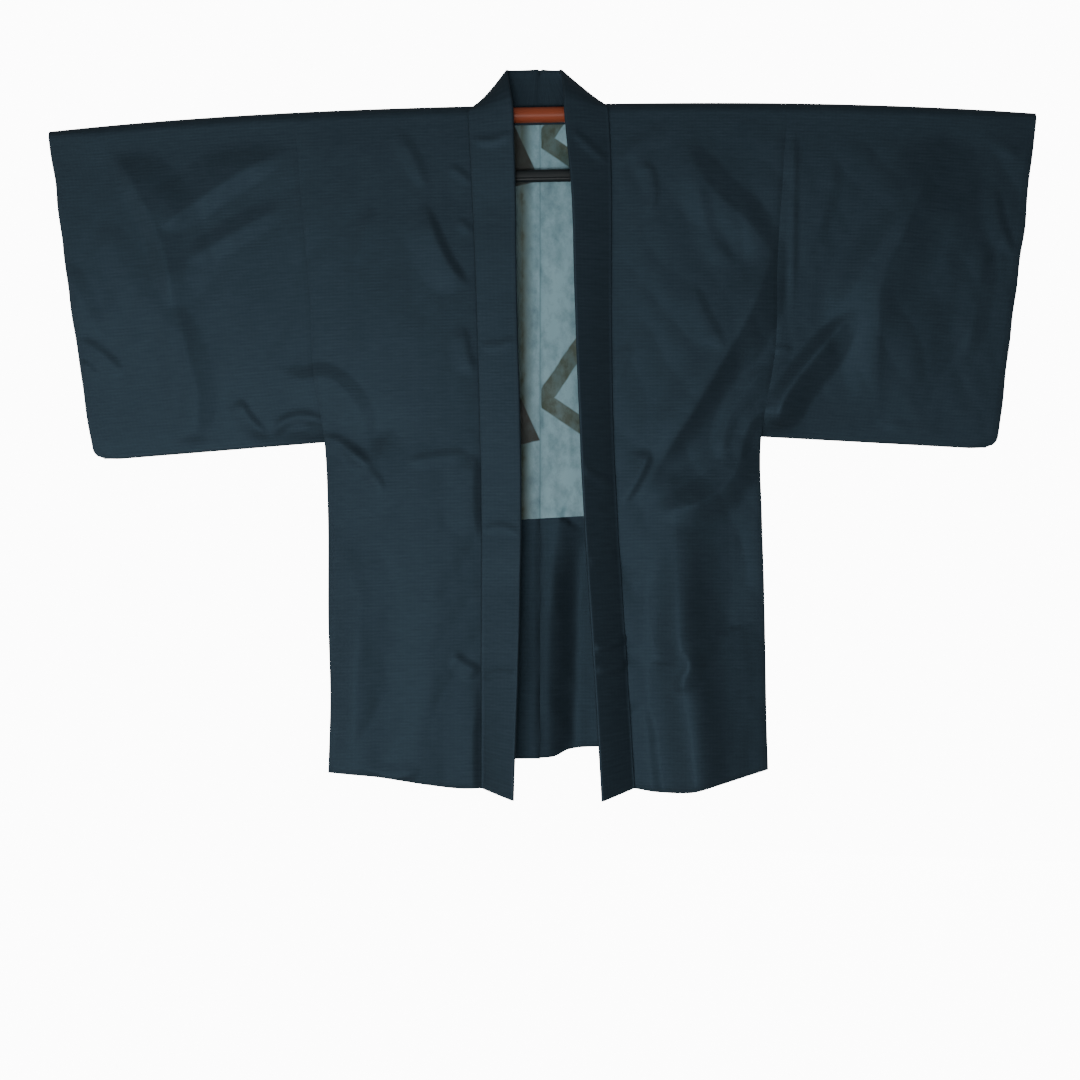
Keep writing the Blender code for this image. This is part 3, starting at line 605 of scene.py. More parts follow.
def finish_cloth(name, mesh, wall, offset, material, node):
    """Turns a cloth grid into a piece with a wall, which stands for one node of the model."""
    data = bpy.data.meshes.new(name)
    mesh.to_mesh(data)
    mesh.free()
    data.shade_smooth()
    data.materials.append(material)
    piece = bpy.data.objects.new(name, data)
    bpy.context.scene.collection.objects.link(piece)
    thicken = piece.modifiers.new("wall", "SOLIDIFY")
    thicken.thickness = wall
    thicken.offset = offset
    piece.modifiers.new("crisp_rim", "EDGE_SPLIT").split_angle = RIM_ANGLE
    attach(piece, "root")
    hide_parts(node)
    print(name, len(data.polygons), "faces,", round(wall * 1000, 1), "mm thick")
    return piece


# %% [markdown]
# ## The navy cloth
#
# The outer cloth is a heavy silk with fine crosswise ribs. Some of the weft threads are thicker for
# a few centimetres, so the ribs look like rows of short dashes. The ribs are a wave along the
# cloth's length, the dashes are a noise stretched sideways, and both give colour and bump. The
# warp adds a faint grid the other way. A little sheen lifts the folds that face the light.

# %% Node helpers
def new_finish(name, colour, roughness, specular=0.5):
    """A material with its Principled shader set, its node tree and the shader."""
    material = bpy.data.materials.new(name)
    material.use_nodes = True
    shader = material.node_tree.nodes["Principled BSDF"]
    shader.inputs["Base Color"].default_value = (*colour, 1)
    shader.inputs["Roughness"].default_value = roughness
    shader.inputs["Specular IOR Level"].default_value = specular
    return material, material.node_tree, shader


def put(tree, value, socket):
    """Sets a socket to a number or colour, or links it to another socket."""
    if isinstance(value, bpy.types.NodeSocket):
        tree.links.new(value, socket)
    else:
        socket.default_value = value


def calc(tree, operation, *values):
    step = tree.nodes.new("ShaderNodeMath")
    step.operation = operation
    for socket, value in zip(step.inputs, values):
        put(tree, value, socket)
    return step.outputs[0]


def shade(tree, factor, first, second, way="MIX"):
    """Mixes two colours by a factor."""
    step = tree.nodes.new("ShaderNodeMix")
    step.data_type = "RGBA"
    step.blend_type = way
    for name, value in (("Factor_Float", factor), ("A_Color", first), ("B_Color", second)):
        socket = next(s for s in step.inputs if s.identifier == name)
        put(tree, (*value, 1) if isinstance(value, tuple) else value, socket)
    return next(s for s in step.outputs if s.identifier == "Result_Color")


def stretched(tree, source, scale, shift=(0, 0, 0)):
    """Coordinates scaled by a different amount each way."""
    step = tree.nodes.new("ShaderNodeMapping")
    step.inputs["Scale"].default_value = scale
    step.inputs["Location"].default_value = shift
    tree.links.new(source, step.inputs["Vector"])
    return step.outputs["Vector"]


def grain(tree, source, scale, detail=2.0, roughness=0.5):
    """Noise from 0 to 1."""
    step = tree.nodes.new("ShaderNodeTexNoise")
    step.inputs["Scale"].default_value = scale
    step.inputs["Detail"].default_value = detail
    step.inputs["Roughness"].default_value = roughness
    tree.links.new(source, step.inputs["Vector"])
    return step.outputs["Fac"]


def bands(tree, source, pitch, direction, waver=0.0):
    """Even soft bands of that pitch, from 0 to 1."""
    step = tree.nodes.new("ShaderNodeTexWave")
    step.bands_direction = direction
    step.inputs["Scale"].default_value = 2 * math.pi / (20 * pitch)
    step.inputs["Distortion"].default_value = waver
    step.inputs["Detail"].default_value = 1.0
    step.inputs["Detail Scale"].default_value = 0.6
    tree.links.new(source, step.inputs["Vector"])
    return step.outputs["Fac"]


def cut_map(tree):
    step = tree.nodes.new("ShaderNodeUVMap")
    step.uv_map = "cut"
    return step.outputs["UV"]


def raise_surface(tree, shader, height, distance, strength):
    step = tree.nodes.new("ShaderNodeBump")
    step.inputs["Distance"].default_value = distance
    step.inputs["Strength"].default_value = strength
    tree.links.new(height, step.inputs["Height"])
    tree.links.new(step.outputs["Normal"], shader.inputs["Normal"])


print("node helpers ready")

# %% The navy ribbed silk
RIB_PITCH = 0.0042
WARP_PITCH = 0.0052
NAVY_DARK = (0.0078, 0.0118, 0.0152)
NAVY_LIGHT = (0.0190, 0.0284, 0.0365)
NAVY_GLOSS = (0.43, 0.72, 0.98, 1)
NAVY_SHEEN = (0.55, 0.75, 0.95, 1)


def make_navy():
    material, tree, shader = new_finish("navy_ribbed_silk", NAVY_LIGHT, 0.60, 0.57)
    shader.inputs["Specular Tint"].default_value = NAVY_GLOSS
    flat = cut_map(tree)
    ribs = bands(tree, flat, RIB_PITCH, "Y", 0.25)
    warps = bands(tree, flat, WARP_PITCH, "X")
    dashes = grain(tree, stretched(tree, flat, (62, 360, 1)), 1.0, 2.0)
    slubs = grain(tree, stretched(tree, flat, (17, 250, 1), (3, 7, 0)), 1.0, 1.0)
    clouds = grain(tree, stretched(tree, flat, (9, 4, 1)), 1.0, 3.0)
    shown = grain(tree, stretched(tree, flat, (38, 52, 1), (9, 1, 0)), 1.0, 1.0)
    ribs = calc(tree, "MULTIPLY", ribs, calc(tree, "MULTIPLY_ADD", shown, 1.6, -0.3))
    weave = calc(tree, "MULTIPLY_ADD", ribs, 0.26, 0.04)
    for part, amount in ((dashes, 0.80), (slubs, 0.50), (warps, 0.09), (clouds, 0.36)):
        weave = calc(tree, "MULTIPLY_ADD", part, amount, weave)
    tone = calc(tree, "SUBTRACT", weave, 0.52)
    tree.links.new(shade(tree, tone, NAVY_DARK, NAVY_LIGHT), shader.inputs["Base Color"])
    height = calc(tree, "MULTIPLY_ADD", dashes, 0.7, ribs)
    raise_surface(tree, shader, height, 0.00020, 0.40)
    shader.inputs["Sheen Weight"].default_value = 0.06
    shader.inputs["Sheen Roughness"].default_value = 0.35
    shader.inputs["Sheen Tint"].default_value = NAVY_SHEEN
    return material


navy = make_navy()
print("ribs", RIB_PITCH * 1000, "mm apart")

# %% [markdown]
# ## The two body widths
#
# Each body width is one straight length of cloth, with no shoulder seam: it rises from the front
# hem, turns over the rod, and falls to the back hem. The neck is cut out of its front part. The two
# widths meet at the centre back. So the grid is built whole, and the points of the neck cut are
# deleted from it. Along each seam the cloth dips a little, as it does where it is sewn. Just under
# the rod everything is held straight, and the seams and the side's own line set in below that.

# %% Body widths
Row = namedtuple("Row", "face down turn")
FRONT_STEPS = 290
BACK_STEPS = 200
WRAP_STEPS = 12
NECK_COLUMNS = 21
PANEL_COLUMNS = 66
BODY_WALL = 0.0014
CENTRE_LAP = 0.00015
SEAM_DIP = 0.0007
SIDE_SEAM_DIP = 0.0006
SEAM_SOFTNESS = 0.0026
HEM_ROLL = 0.0012
HEM_SOFTNESS = 0.004
SIDE_SET_IN = 10
CENTRE_SET_IN = 20

BODY_ROWS = [Row("front", 2 - 2 * k / FRONT_STEPS, None) for k in range(FRONT_STEPS + 1)]
BODY_ROWS += [Row("wrap", 0, k / WRAP_STEPS) for k in range(1, WRAP_STEPS)]
BODY_ROWS += [Row("back", 2 * k / BACK_STEPS, None) for k in range(BACK_STEPS + 1)]
FIRST_BACK_ROW = FRONT_STEPS + WRAP_STEPS


def dip(distance, depth, softness):
    return depth * math.exp(-((distance / softness) ** 2))


def body_place(side, across, row):
    """(x, z) of the body cloth, the height of its hem there, and the side seam's distance out.

    Across is 0 at the collar seam, 1 at the side seam, and -1 to 0 over the back of the neck.
    Down is 0 at the rod, 1 at the underarm and 2 at the hem.
    """
    sign = SIDES[side]
    edge = SIDE[side][0].x
    inner = OPENING[side][0].seam if row.face == "front" else NECK_BACK_HALF
    flat_x = sign * (mix(inner, edge, across) if across > 0 else inner * (1 + min(0, across)))
    hem_table = FRONT_HEM[side] if row.face == "front" else BACK_HEM[side]
    hem = read(hem_table, across if row.face == "front" else abs(flat_x) / edge, "z")
    z = mix(rod_height(flat_x), UNDERARM_Z[side], min(1, row.down))
    z = mix(z, hem, max(0, row.down - 1))
    side_x = mix(edge, read(SIDE[side], z, "x"), ease(row.down * SIDE_SET_IN))
    if row.face == "front":
        x = mix(read(OPENING[side], z, "seam"), side_x, across)
    elif across > 0:
        x = mix(inner, side_x, across)
    else:
        x = max(-CENTRE_LAP, abs(flat_x) - CENTRE_LAP)
    return sign * x, z, hem, side_x


def body_point(side, across, row):
    """A point of the body cloth's outer face."""
    sign = SIDES[side]
    if row.turn is not None:
        seam = mix(OPENING[side][0].seam, NECK_BACK_HALF, min(1.0, NECK_TURN_IN * row.turn))
        x = sign * (mix(seam, SIDE[side][0].x, across) if across > 0 else seam * (1 + across))
        angle = math.pi * (row.turn - 0.5)
        return Vector(
            (x, WRAP_RADIUS * math.sin(angle), rod_height(x) + WRAP_RADIUS * math.cos(angle))
        )
    x, z, hem, side_x = body_place(side, across, row)
    inner = read(DEPTH, z, "opening" if row.face == "front" else "centre_back")
    share = across if row.face == "front" else abs(x) / side_x
    depth = mix(inner, read(DEPTH, z, "side"), share)
    depth += bulge(z, share) + relief(row.face, x, z)
    depth -= dip(side_x - abs(x), SIDE_SEAM_DIP, SEAM_SOFTNESS) * ease(row.down * SIDE_SET_IN)
    depth -= dip(z - hem, HEM_ROLL, HEM_SOFTNESS)
    if row.face == "back":
        depth -= dip(x, SEAM_DIP, SEAM_SOFTNESS) * ease(row.down * CENTRE_SET_IN)
    return Vector((x, depth if row.face == "back" else -depth, z))


def body_cut(side, across, row):
    """The same point's place on the flat cloth."""
    if row.turn is not None:
        width = mix(NECK_BACK_HALF, SIDE[side][0].x, max(0, across))
        return width, math.pi * WRAP_RADIUS * row.turn
    x, z, _, _ = body_place(side, across, row)
    fallen = rod_height(x) - z
    return abs(x), -fallen if row.face == "front" else math.pi * WRAP_RADIUS + fallen


def across_at(column):
    if column < NECK_COLUMNS:
        return column / NECK_COLUMNS - 1
    return (column - NECK_COLUMNS) / PANEL_COLUMNS


def make_body(side):
    mesh, placed = grid_of(
        NECK_COLUMNS + PANEL_COLUMNS,
        len(BODY_ROWS) - 1,
        lambda column, row: body_point(side, across_at(column), BODY_ROWS[row]),
        lambda column, row: body_cut(side, across_at(column), BODY_ROWS[row]),
    )
    cut = [placed[c, r] for c in range(NECK_COLUMNS) for r in range(FIRST_BACK_ROW)]
    bmesh.ops.delete(mesh, geom=cut, context="VERTS")
    face_outwards(mesh, placed[NECK_COLUMNS + 30, 60], Vector((0, -1, 0)))
    return finish_cloth(f"cloth_body_{side}", mesh, BODY_WALL, -1, navy, f"body_{side}")


for side in SIDES:
    piece = make_body(side)

# %% [markdown]
# ## The sleeves
#
# A sleeve is one length folded at the top, so on the rod it is a flat tube: front, rounded bottom
# edge, back, and a turn over the rod. It is open into the body, and at the cuff down to about three
# quarters of its height, and sewn shut below both. The tube is a grid whose first and last rows
# meet, and the sewn edges are narrow strips of faces between front and back.

# %% Sleeves
Sleeve = namedtuple("Sleeve", "cuff_top_x cuff_bottom_x bottom_z")
SLEEVE = {"right": Sleeve(0.657, 0.599, -0.4605), "left": Sleeve(0.6635, 0.612, -0.4455)}
Fullness = namedtuple("Fullness", "level middle cuff")
SLEEVE_FULLNESS = (
    Fullness(0.0, 0.0135, 0.0095),
    Fullness(0.2, 0.0155, 0.0120),
    Fullness(0.5, 0.0150, 0.0115),
    Fullness(0.8, 0.0105, 0.0050),
    Fullness(1.0, 0.0030, 0.0030),
)
SLEEVE_HEM_RADIUS = 0.0024
CORNER_RADIUS = 0.0008
CUFF_CORNER = 0.014
CUFF_OPENING_LEVEL = 0.75
ARMHOLE_LEVEL = 0.93
CUFF_WRAP_RADIUS = 0.0095
CUFF_WAVER = 0.0028
CUFF_SET_IN = 6
DEPTH_SET_IN = 7
PAST_ROD = 0.02
FULLNESS_FROM = 0.4
CORNER_FROM = 0.92
CORNER_SHARE = 0.08
BOTTOM_FLAT = 0.02
BOTTOM_CLOSE = 0.03
SLEEVE_STEPS = 128
SLEEVE_COLUMNS = 92
BOTTOM_STEPS = 6
SLEEVE_WRAP_STEPS = 12
SLEEVE_WALL = 0.0013

RINGS = [("front", k / SLEEVE_STEPS) for k in range(SLEEVE_STEPS + 1)]
RINGS += [("bottom", k / BOTTOM_STEPS) for k in range(1, BOTTOM_STEPS)]
RINGS += [("back", 1 - k / SLEEVE_STEPS) for k in range(SLEEVE_STEPS + 1)]
RINGS += [("wrap", k / SLEEVE_WRAP_STEPS) for k in range(1, SLEEVE_WRAP_STEPS + 1)]


def at_least(value, least, softness=0.0015):
    """The value, kept above a least one with a soft corner."""
    return least + softness * math.log1p(math.exp((value - least) / softness))


def sleeve_point(side, across, ring):
    """A point of the sleeve's outer face. Across is 0 at the armhole and 1 at the cuff."""
    part, share = ring
    sign, sizes = SIDES[side], SLEEVE[side]
    top_x = mix(SIDE[side][0].x + SEAM_GAP, sizes.cuff_top_x, across)
    past_rod = (top_x - ROD_REACH - PAST_ROD) / (sizes.cuff_top_x - ROD_REACH - PAST_ROD)
    wrap = mix(WRAP_RADIUS, CUFF_WRAP_RADIUS, ease(past_rod))
    axis = rod_height(sign * top_x) + WRAP_RADIUS - wrap
    if part == "wrap":
        angle = math.pi * (0.5 - share)
        return Vector((sign * top_x, wrap * math.sin(angle), axis + wrap * math.cos(angle)))
    level = 1.0 if part == "bottom" else share
    bottom = mix(UNDERARM_Z[side], sizes.bottom_z, across)
    z = mix(axis, bottom, level)
    rise = max(0.0, 1 - (z - bottom) / CUFF_CORNER)
    rounding = CUFF_CORNER * (1 - math.sqrt(max(0.0, 1 - rise**2)))
    cuff_x = mix(sizes.cuff_top_x, sizes.cuff_bottom_x, level) - rounding
    cuff_x += CUFF_WAVER * noise.noise(Vector((z / 0.060, sign, 6))) * ease(level * CUFF_SET_IN)
    seam_x = mix(SIDE[side][0].x, read(SIDE[side], z, "x"), ease(level * SIDE_SET_IN))
    x = sign * mix(seam_x + SEAM_GAP, cuff_x, across)
    radius = mix(SLEEVE_HEM_RADIUS, CORNER_RADIUS, ease((across - CORNER_FROM) / CORNER_SHARE))
    if part == "bottom":
        angle = math.pi * share
        return Vector((x, -radius * math.cos(angle), bottom - radius * math.sin(angle)))
    full = mix(
        read(SLEEVE_FULLNESS, level, "middle"), read(SLEEVE_FULLNESS, level, "cuff"), across**2
    )
    seam_depth = read(DEPTH, z, "side")
    depth = mix(seam_depth, full, min(1.0, across / FULLNESS_FROM))
    depth += relief(part, x, z) * ease((z - bottom) / BOTTOM_FLAT)
    depth -= dip(abs(x) - seam_x, SIDE_SEAM_DIP, SEAM_SOFTNESS) * ease(level * SIDE_SET_IN)
    depth -= dip(cuff_x - abs(x), HEM_ROLL, HEM_SOFTNESS) * ease(level * SIDE_SET_IN)
    depth = mix(radius, at_least(depth, radius), ease((z - bottom) / BOTTOM_CLOSE) ** 0.5)
    depth = mix(wrap, depth, ease(level * DEPTH_SET_IN))
    return Vector((x, -depth if part == "front" else depth, z))


def sleeve_cut(side, across, ring):
    part, share = ring
    drop = -UNDERARM_Z[side]
    width = SIDE[side][0].x + across * (SLEEVE[side].cuff_top_x - SIDE[side][0].x)
    if part == "wrap":
        return width, math.pi * WRAP_RADIUS * (1 - share)
    if part == "bottom":
        return width, -drop - SLEEVE_HEM_RADIUS * math.pi * share
    return width, -drop * share if part == "front" else math.pi * WRAP_RADIUS + drop * share


def sew_shut(mesh, placed, column, level):
    """Joins the front and back edges of a sleeve below a level with a narrow strip of faces."""
    start = next(k for k, ring in enumerate(RINGS) if ring[0] == "front" and ring[1] >= level)
    last_back = 2 * SLEEVE_STEPS + BOTTOM_STEPS
    for k in range(start, SLEEVE_STEPS + BOTTOM_STEPS // 2):
        corners = [placed[column, r] for r in (k, k + 1, last_back - k - 1, last_back - k)]
        bmesh.ops.contextual_create(mesh, geom=list(dict.fromkeys(corners)))


def make_sleeve(side):
    mesh, placed = grid_of(
        SLEEVE_COLUMNS,
        len(RINGS) - 1,
        lambda column, ring: sleeve_point(side, column / SLEEVE_COLUMNS, RINGS[ring]),
        lambda column, ring: sleeve_cut(side, column / SLEEVE_COLUMNS, RINGS[ring]),
    )
    sew_shut(mesh, placed, 0, ARMHOLE_LEVEL)
    sew_shut(mesh, placed, SLEEVE_COLUMNS, CUFF_OPENING_LEVEL)
    probe = placed[40, 50]
    bmesh.ops.remove_doubles(mesh, verts=mesh.verts, dist=1e-6)
    bmesh.ops.recalc_face_normals(mesh, faces=mesh.faces[:])
    face_outwards(mesh, probe, Vector((0, -1, 0)))
    return finish_cloth(f"cloth_sleeve_{side}", mesh, SLEEVE_WALL, -1, navy, f"sleeve_{side}")


for side in SIDES:
    piece = make_sleeve(side)

# %% [markdown]
# ## The side gussets
#
# A haori has a narrow wedge of cloth between front and back, from the underarm to the hem. When the
# jacket hangs, it folds inwards like the side of a paper bag. Its edges follow the body's own
# edges, so it is made from them.

# %% Gussets
GUSSET_ROWS = 120
GUSSET_COLUMNS = 18
GUSSET_TOP = 0.975
GUSSET_WALL = 0.0012
GUSSET_INSET = 0.0014
GUSSET_CLEARANCE = 0.0013
GUSSET_TUCK_TOP = 0.001
GUSSET_TUCK_MORE = 0.012
GUSSET_WAVER = 0.0012
GUSSET_CUT = (0.06, 0.45)


def gusset_point(side, share, drop):
    """A point of the gusset. Share runs from front to back, and drop from underarm to hem."""
    down = mix(GUSSET_TOP, 2, drop)
    front = body_point(side, 1, Row("front", down, None)) + Vector((0, GUSSET_CLEARANCE, 0))
    back = body_point(side, 1, Row("back", down, None)) - Vector((0, GUSSET_CLEARANCE, 0))
    place = front.lerp(back, share)
    tuck = (GUSSET_TUCK_TOP + GUSSET_TUCK_MORE * drop) * (1 - abs(2 * share - 1) ** 1.5)
    tuck += GUSSET_WAVER * drop * noise.noise(Vector((share * 2, drop * 6, SIDES[side] * 4)))
    place.x = SIDES[side] * (min(abs(front.x), abs(back.x)) - GUSSET_INSET - tuck)
    return place


def make_gusset(side):
    mesh, placed = grid_of(
        GUSSET_COLUMNS,
        GUSSET_ROWS,
        lambda column, row: gusset_point(side, column / GUSSET_COLUMNS, 1 - row / GUSSET_ROWS),
        lambda column, row: (
            GUSSET_CUT[0] * column / GUSSET_COLUMNS, GUSSET_CUT[1] * row / GUSSET_ROWS
        ),
    )
    face_outwards(mesh, placed[4, 60], Vector((SIDES[side], 0, 0)))
    return finish_cloth(f"cloth_gusset_{side}", mesh, GUSSET_WALL, 0, navy, f"gusset_{side}")


for side in SIDES:
    piece = make_gusset(side)

# %% [markdown]
# ## The collar
#
# The collar is one long band, folded lengthwise, that runs from hem to hem round the neck. Its
# inner leaf is sewn to the edges of the fronts, its outer leaf covers that seam, and its fold is
# the free edge. At the back of the neck it stands up, and at each side it turns over and lies down
# on the front. A few cross sections are worked out along the body's edge, from the hem of one side
# to the hem of the other, and a smooth surface is drawn through them.

# %% Collar sections
NeckFold = namedtuple("NeckFold", "turn right left y z")
NECK_FOLD = (
    NeckFold(0.0, 0.037, 0.0320, -0.0210, 0.006),
    NeckFold(0.2, 0.039, 0.0315, -0.0180, 0.028),
    NeckFold(0.5, 0.0435, 0.0280, -0.0020, 0.0550),
    NeckFold(1.0, 0.0405, 0.0245, 0.0155, 0.0622),
)
NECK_FOLD_BACK = Vector((0, 0.0185, 0.0642))
LEAF_SPACING = 0.0035
FLAP_OVER_SEAM = 0.0020
COLLAR_WALL = 0.0012
COLLAR_SEAM_GAP = 0.0003
COLLAR_LIFT = 0.0014
BEYOND_ACROSS = 0.14
BEYOND_DOWN = 0.026
TIP_LENGTH = 0.125
COLLAR_STEPS = 24
NECK_STEPS = 6
NECK_BACK_STEPS = 3
Station = namedtuple("Station", "seam beyond fold")


def collar_stations(side):
    """Stations of half the collar, from the hem to the centre back."""
    sign = SIDES[side]
    found = []
    for k in range(COLLAR_STEPS + 1):
        row = Row("front", 2 - 2 * k / COLLAR_STEPS, None)
        seam, beyond = body_point(side, 0, row), body_point(side, BEYOND_ACROSS, row)
        tip = COLLAR_TIP_DROP[side] * max(0.0, 1 - (seam.z - FRONT_HEM[side][0].z) / TIP_LENGTH)
        forward = read(OPENING[side], seam.z, "forward")
        fold_x = sign * read(OPENING[side], seam.z, "fold")
        fold = Vector((fold_x, seam.y - forward, seam.z - tip))
        if k == COLLAR_STEPS:
            fold.z = NECK_FOLD[0].z
        found.append(Station(seam, beyond, fold))
    for k in range(1, NECK_STEPS + 1):
        turn = k / NECK_STEPS
        x, y, z = (read(NECK_FOLD, turn, column) for column in (side, "y", "z"))
        fold = Vector((sign * x, y, z))
        row = Row("wrap", 0, turn) if k < NECK_STEPS else Row("back", 0, None)
        lower = row if k < NECK_STEPS else Row("back", BEYOND_DOWN, None)
        beyond = body_point(side, BEYOND_ACROSS, lower)
        found.append(Station(body_point(side, 0, row), beyond, fold))
    corner = found[-1].fold
    for k in range(1, NECK_BACK_STEPS + 1):
        across = -k / NECK_BACK_STEPS
        seam = body_point(side, across, Row("back", 0, None))
        beyond = body_point(side, across, Row("back", BEYOND_DOWN, None))
        if k == NECK_BACK_STEPS:
            seam.x = beyond.x = 0.0
        found.append(Station(seam, beyond, corner.lerp(NECK_FOLD_BACK, k / NECK_BACK_STEPS)))
    return found


def evened(directions):
    """Directions along the collar, each averaged with its neighbours, so the band turns evenly."""
    for _ in range(2):
        last = len(directions) - 1
        directions = [
            (directions[max(0, k - 1)] + here * 2 + directions[min(last, k + 1)]).normalized()
            for k, here in enumerate(directions)
        ]
    return directions


def collar_sections():
    """Six points across the band at each station, from inner seam round the fold to the flap."""
    right, left = collar_stations("right"), collar_stations("left")
    stations = right + left[-2::-1]
    outs, panel_outs, aways = [], [], []
    for k, here in enumerate(stations):
        before, after = stations[max(0, k - 1)], stations[min(len(stations) - 1, k + 1)]
        tangent = (after.seam - before.seam).normalized()
        away = (here.beyond - here.seam).normalized()
        outs.append((here.fold - here.seam).cross(tangent).normalized())
        panel_outs.append((-away).cross(tangent).normalized())
        aways.append(away)
    outs, panel_outs, aways = (evened(found) for found in (outs, panel_outs, aways))
    sections = []
    for here, out, panel_out, away in zip(stations, outs, panel_outs, aways):
        cross = (here.fold - here.seam).normalized()
        radius, half_wall = LEAF_SPACING / 2, COLLAR_WALL / 2
        centre = here.fold - cross * radius + out * (radius - half_wall)
        sections.append(
            (
                here.seam - panel_out * half_wall + cross * COLLAR_SEAM_GAP,
                centre - out * radius,
                centre + cross * radius,
                centre + out * radius,
                here.seam + (out + panel_out).normalized() * (LEAF_SPACING - half_wall),
                here.seam + away * FLAP_OVER_SEAM + panel_out * COLLAR_LIFT,
            )
        )
    return sections


SECTIONS = collar_sections()
print(len(SECTIONS), "sections along the collar")

# %% The collar's surface
INNER_COLUMNS = 13
FOLD_COLUMNS = 8
OUTER_COLUMNS = 16
FLAP_COLUMNS = 3
COLLAR_COLUMNS = INNER_COLUMNS + FOLD_COLUMNS + OUTER_COLUMNS + FLAP_COLUMNS
COLLAR_STEP = 0.0034
OUTER_CROWN = 0.0007
FLAP_ROUNDING = 0.0006
COLLAR_WAVER = 0.0005
NECK_SEAM_DIP = 0.0018
NECK_SEAM_SOFTNESS = 0.0016
NECK_SEAM_FROM_Y = 0.005
COLLAR_WIDTH = 0.118
COLLAR_CREASES = (
    (0.0034, 0.007, 0.011, (0.118, -0.697), (0.092, -0.707), (0.066, -0.714)),
    (0.0030, 0.007, 0.012, (0.118, -0.730), (0.094, -0.738), (0.070, -0.741)),
    (0.0014, 0.008, 0.010, (0.100, -0.498), (0.074, -0.486), (0.050, -0.468)),
    (0.0013, 0.010, 0.012, (0.062, -0.604), (0.080, -0.592), (0.106, -0.588)),
    (0.0014, 0.008, 0.010, (0.092, -0.068), (0.066, -0.046), (0.040, -0.022)),
    (0.0016, 0.008, 0.010, (-0.036, -0.026), (-0.062, -0.038), (-0.092, -0.036)),
    (0.0010, 0.008, 0.010, (-0.080, -0.312), (-0.054, -0.312), (-0.030, -0.302)),
    (0.0012, 0.008, 0.010, (-0.026, -0.562), (-0.050, -0.552), (-0.078, -0.556)),
    (0.0014, 0.007, 0.010, (-0.078, -0.754), (-0.052, -0.747), (-0.028, -0.751)),
)
LAID_COLLAR = lay([Crease(*row[:3], row[3:]) for row in COLLAR_CREASES])


def collar_rows():
    """Fine cross sections: every six points, moved smoothly from one station to the next."""
    rows, run, length = [], [], 0.0
    last = len(SECTIONS) - 1
    for k in range(last):
        around = [SECTIONS[min(last, max(0, j))] for j in (k - 1, k, k + 1, k + 2)]
        gap = (around[2][2] - around[1][2]).length
        steps = max(3, round(gap / COLLAR_STEP))
        for step in range(steps + (k == last - 1)):
            points = [through(*four, step / steps) for four in zip(*around)]
            if rows:
                length += (points[4] - rows[-1][4]).length
            rows.append(points)
            run.append(length)
    return rows, run


COLLAR_ROWS, COLLAR_RUN = collar_rows()


def collar_point(column, row):
    inner, near, tip, far, over, flap = COLLAR_ROWS[row]
    if column <= INNER_COLUMNS:
        return inner.lerp(near, column / INNER_COLUMNS)
    column -= INNER_COLUMNS
    if column <= FOLD_COLUMNS:
        angle = math.pi * column / FOLD_COLUMNS
        centre = (near + far) / 2
        return centre + (near - centre) * math.cos(angle) + (tip - centre) * math.sin(angle)
    column -= FOLD_COLUMNS
    if column <= OUTER_COLUMNS:
        share = column / OUTER_COLUMNS
        crown = (far - near).normalized() * OUTER_CROWN * math.sin(math.pi * share)
        return far.lerp(over, share) + crown
    share = (column - OUTER_COLUMNS) / FLAP_COLUMNS
    round_over = (over - inner).normalized() * FLAP_ROUNDING * math.sin(math.pi * share)
    return over.lerp(flap, share) + round_over


def make_collar():
    mesh, placed = grid_of(
        COLLAR_COLUMNS,
        len(COLLAR_ROWS) - 1,
        collar_point,
        lambda column, row: (COLLAR_WIDTH * column / COLLAR_COLUMNS, COLLAR_RUN[row]),
    )
    face_outwards(mesh, placed[INNER_COLUMNS + FOLD_COLUMNS + 8, 40], Vector((0, -1, 0)))
    outer = INNER_COLUMNS + FOLD_COLUMNS
    moves = []
    for (column, row), vertex in placed.items():
        wave = COLLAR_WAVER * noise.noise(Vector((COLLAR_RUN[row] / 0.05, column / 14, 2)))
        if column > outer and vertex.co.y < 0 and vertex.co.z < 0:
            wave += crease_height(LAID_COLLAR, vertex.co.x, vertex.co.z)
        if vertex.co.y > NECK_SEAM_FROM_Y:
            seam = dip(vertex.co.x, NECK_SEAM_DIP, NECK_SEAM_SOFTNESS)
            wave -= seam * ease(min(column, COLLAR_COLUMNS - column) / FLAP_COLUMNS)
        moves.append((vertex, vertex.normal * wave))
    for vertex, move in moves:
        vertex.co += move
    return finish_cloth("cloth_collar", mesh, COLLAR_WALL, 0, navy, "collar")


collar = make_collar()

# %% [markdown]
# ## The figured lining
#
# The lining shows only inside the back, above the deep turned-up facing. A man's haori hides its
# finery there: this one has large tilted squares and solid wedges, in dark olive on a mottled pale
# blue-grey, as if stencilled. A pattern like this could be painted, but it is simple enough to
# measure out: a tilted square is the larger of two distances, and a wedge is what lies between two
# straight lines. It repeats along and across the cloth.

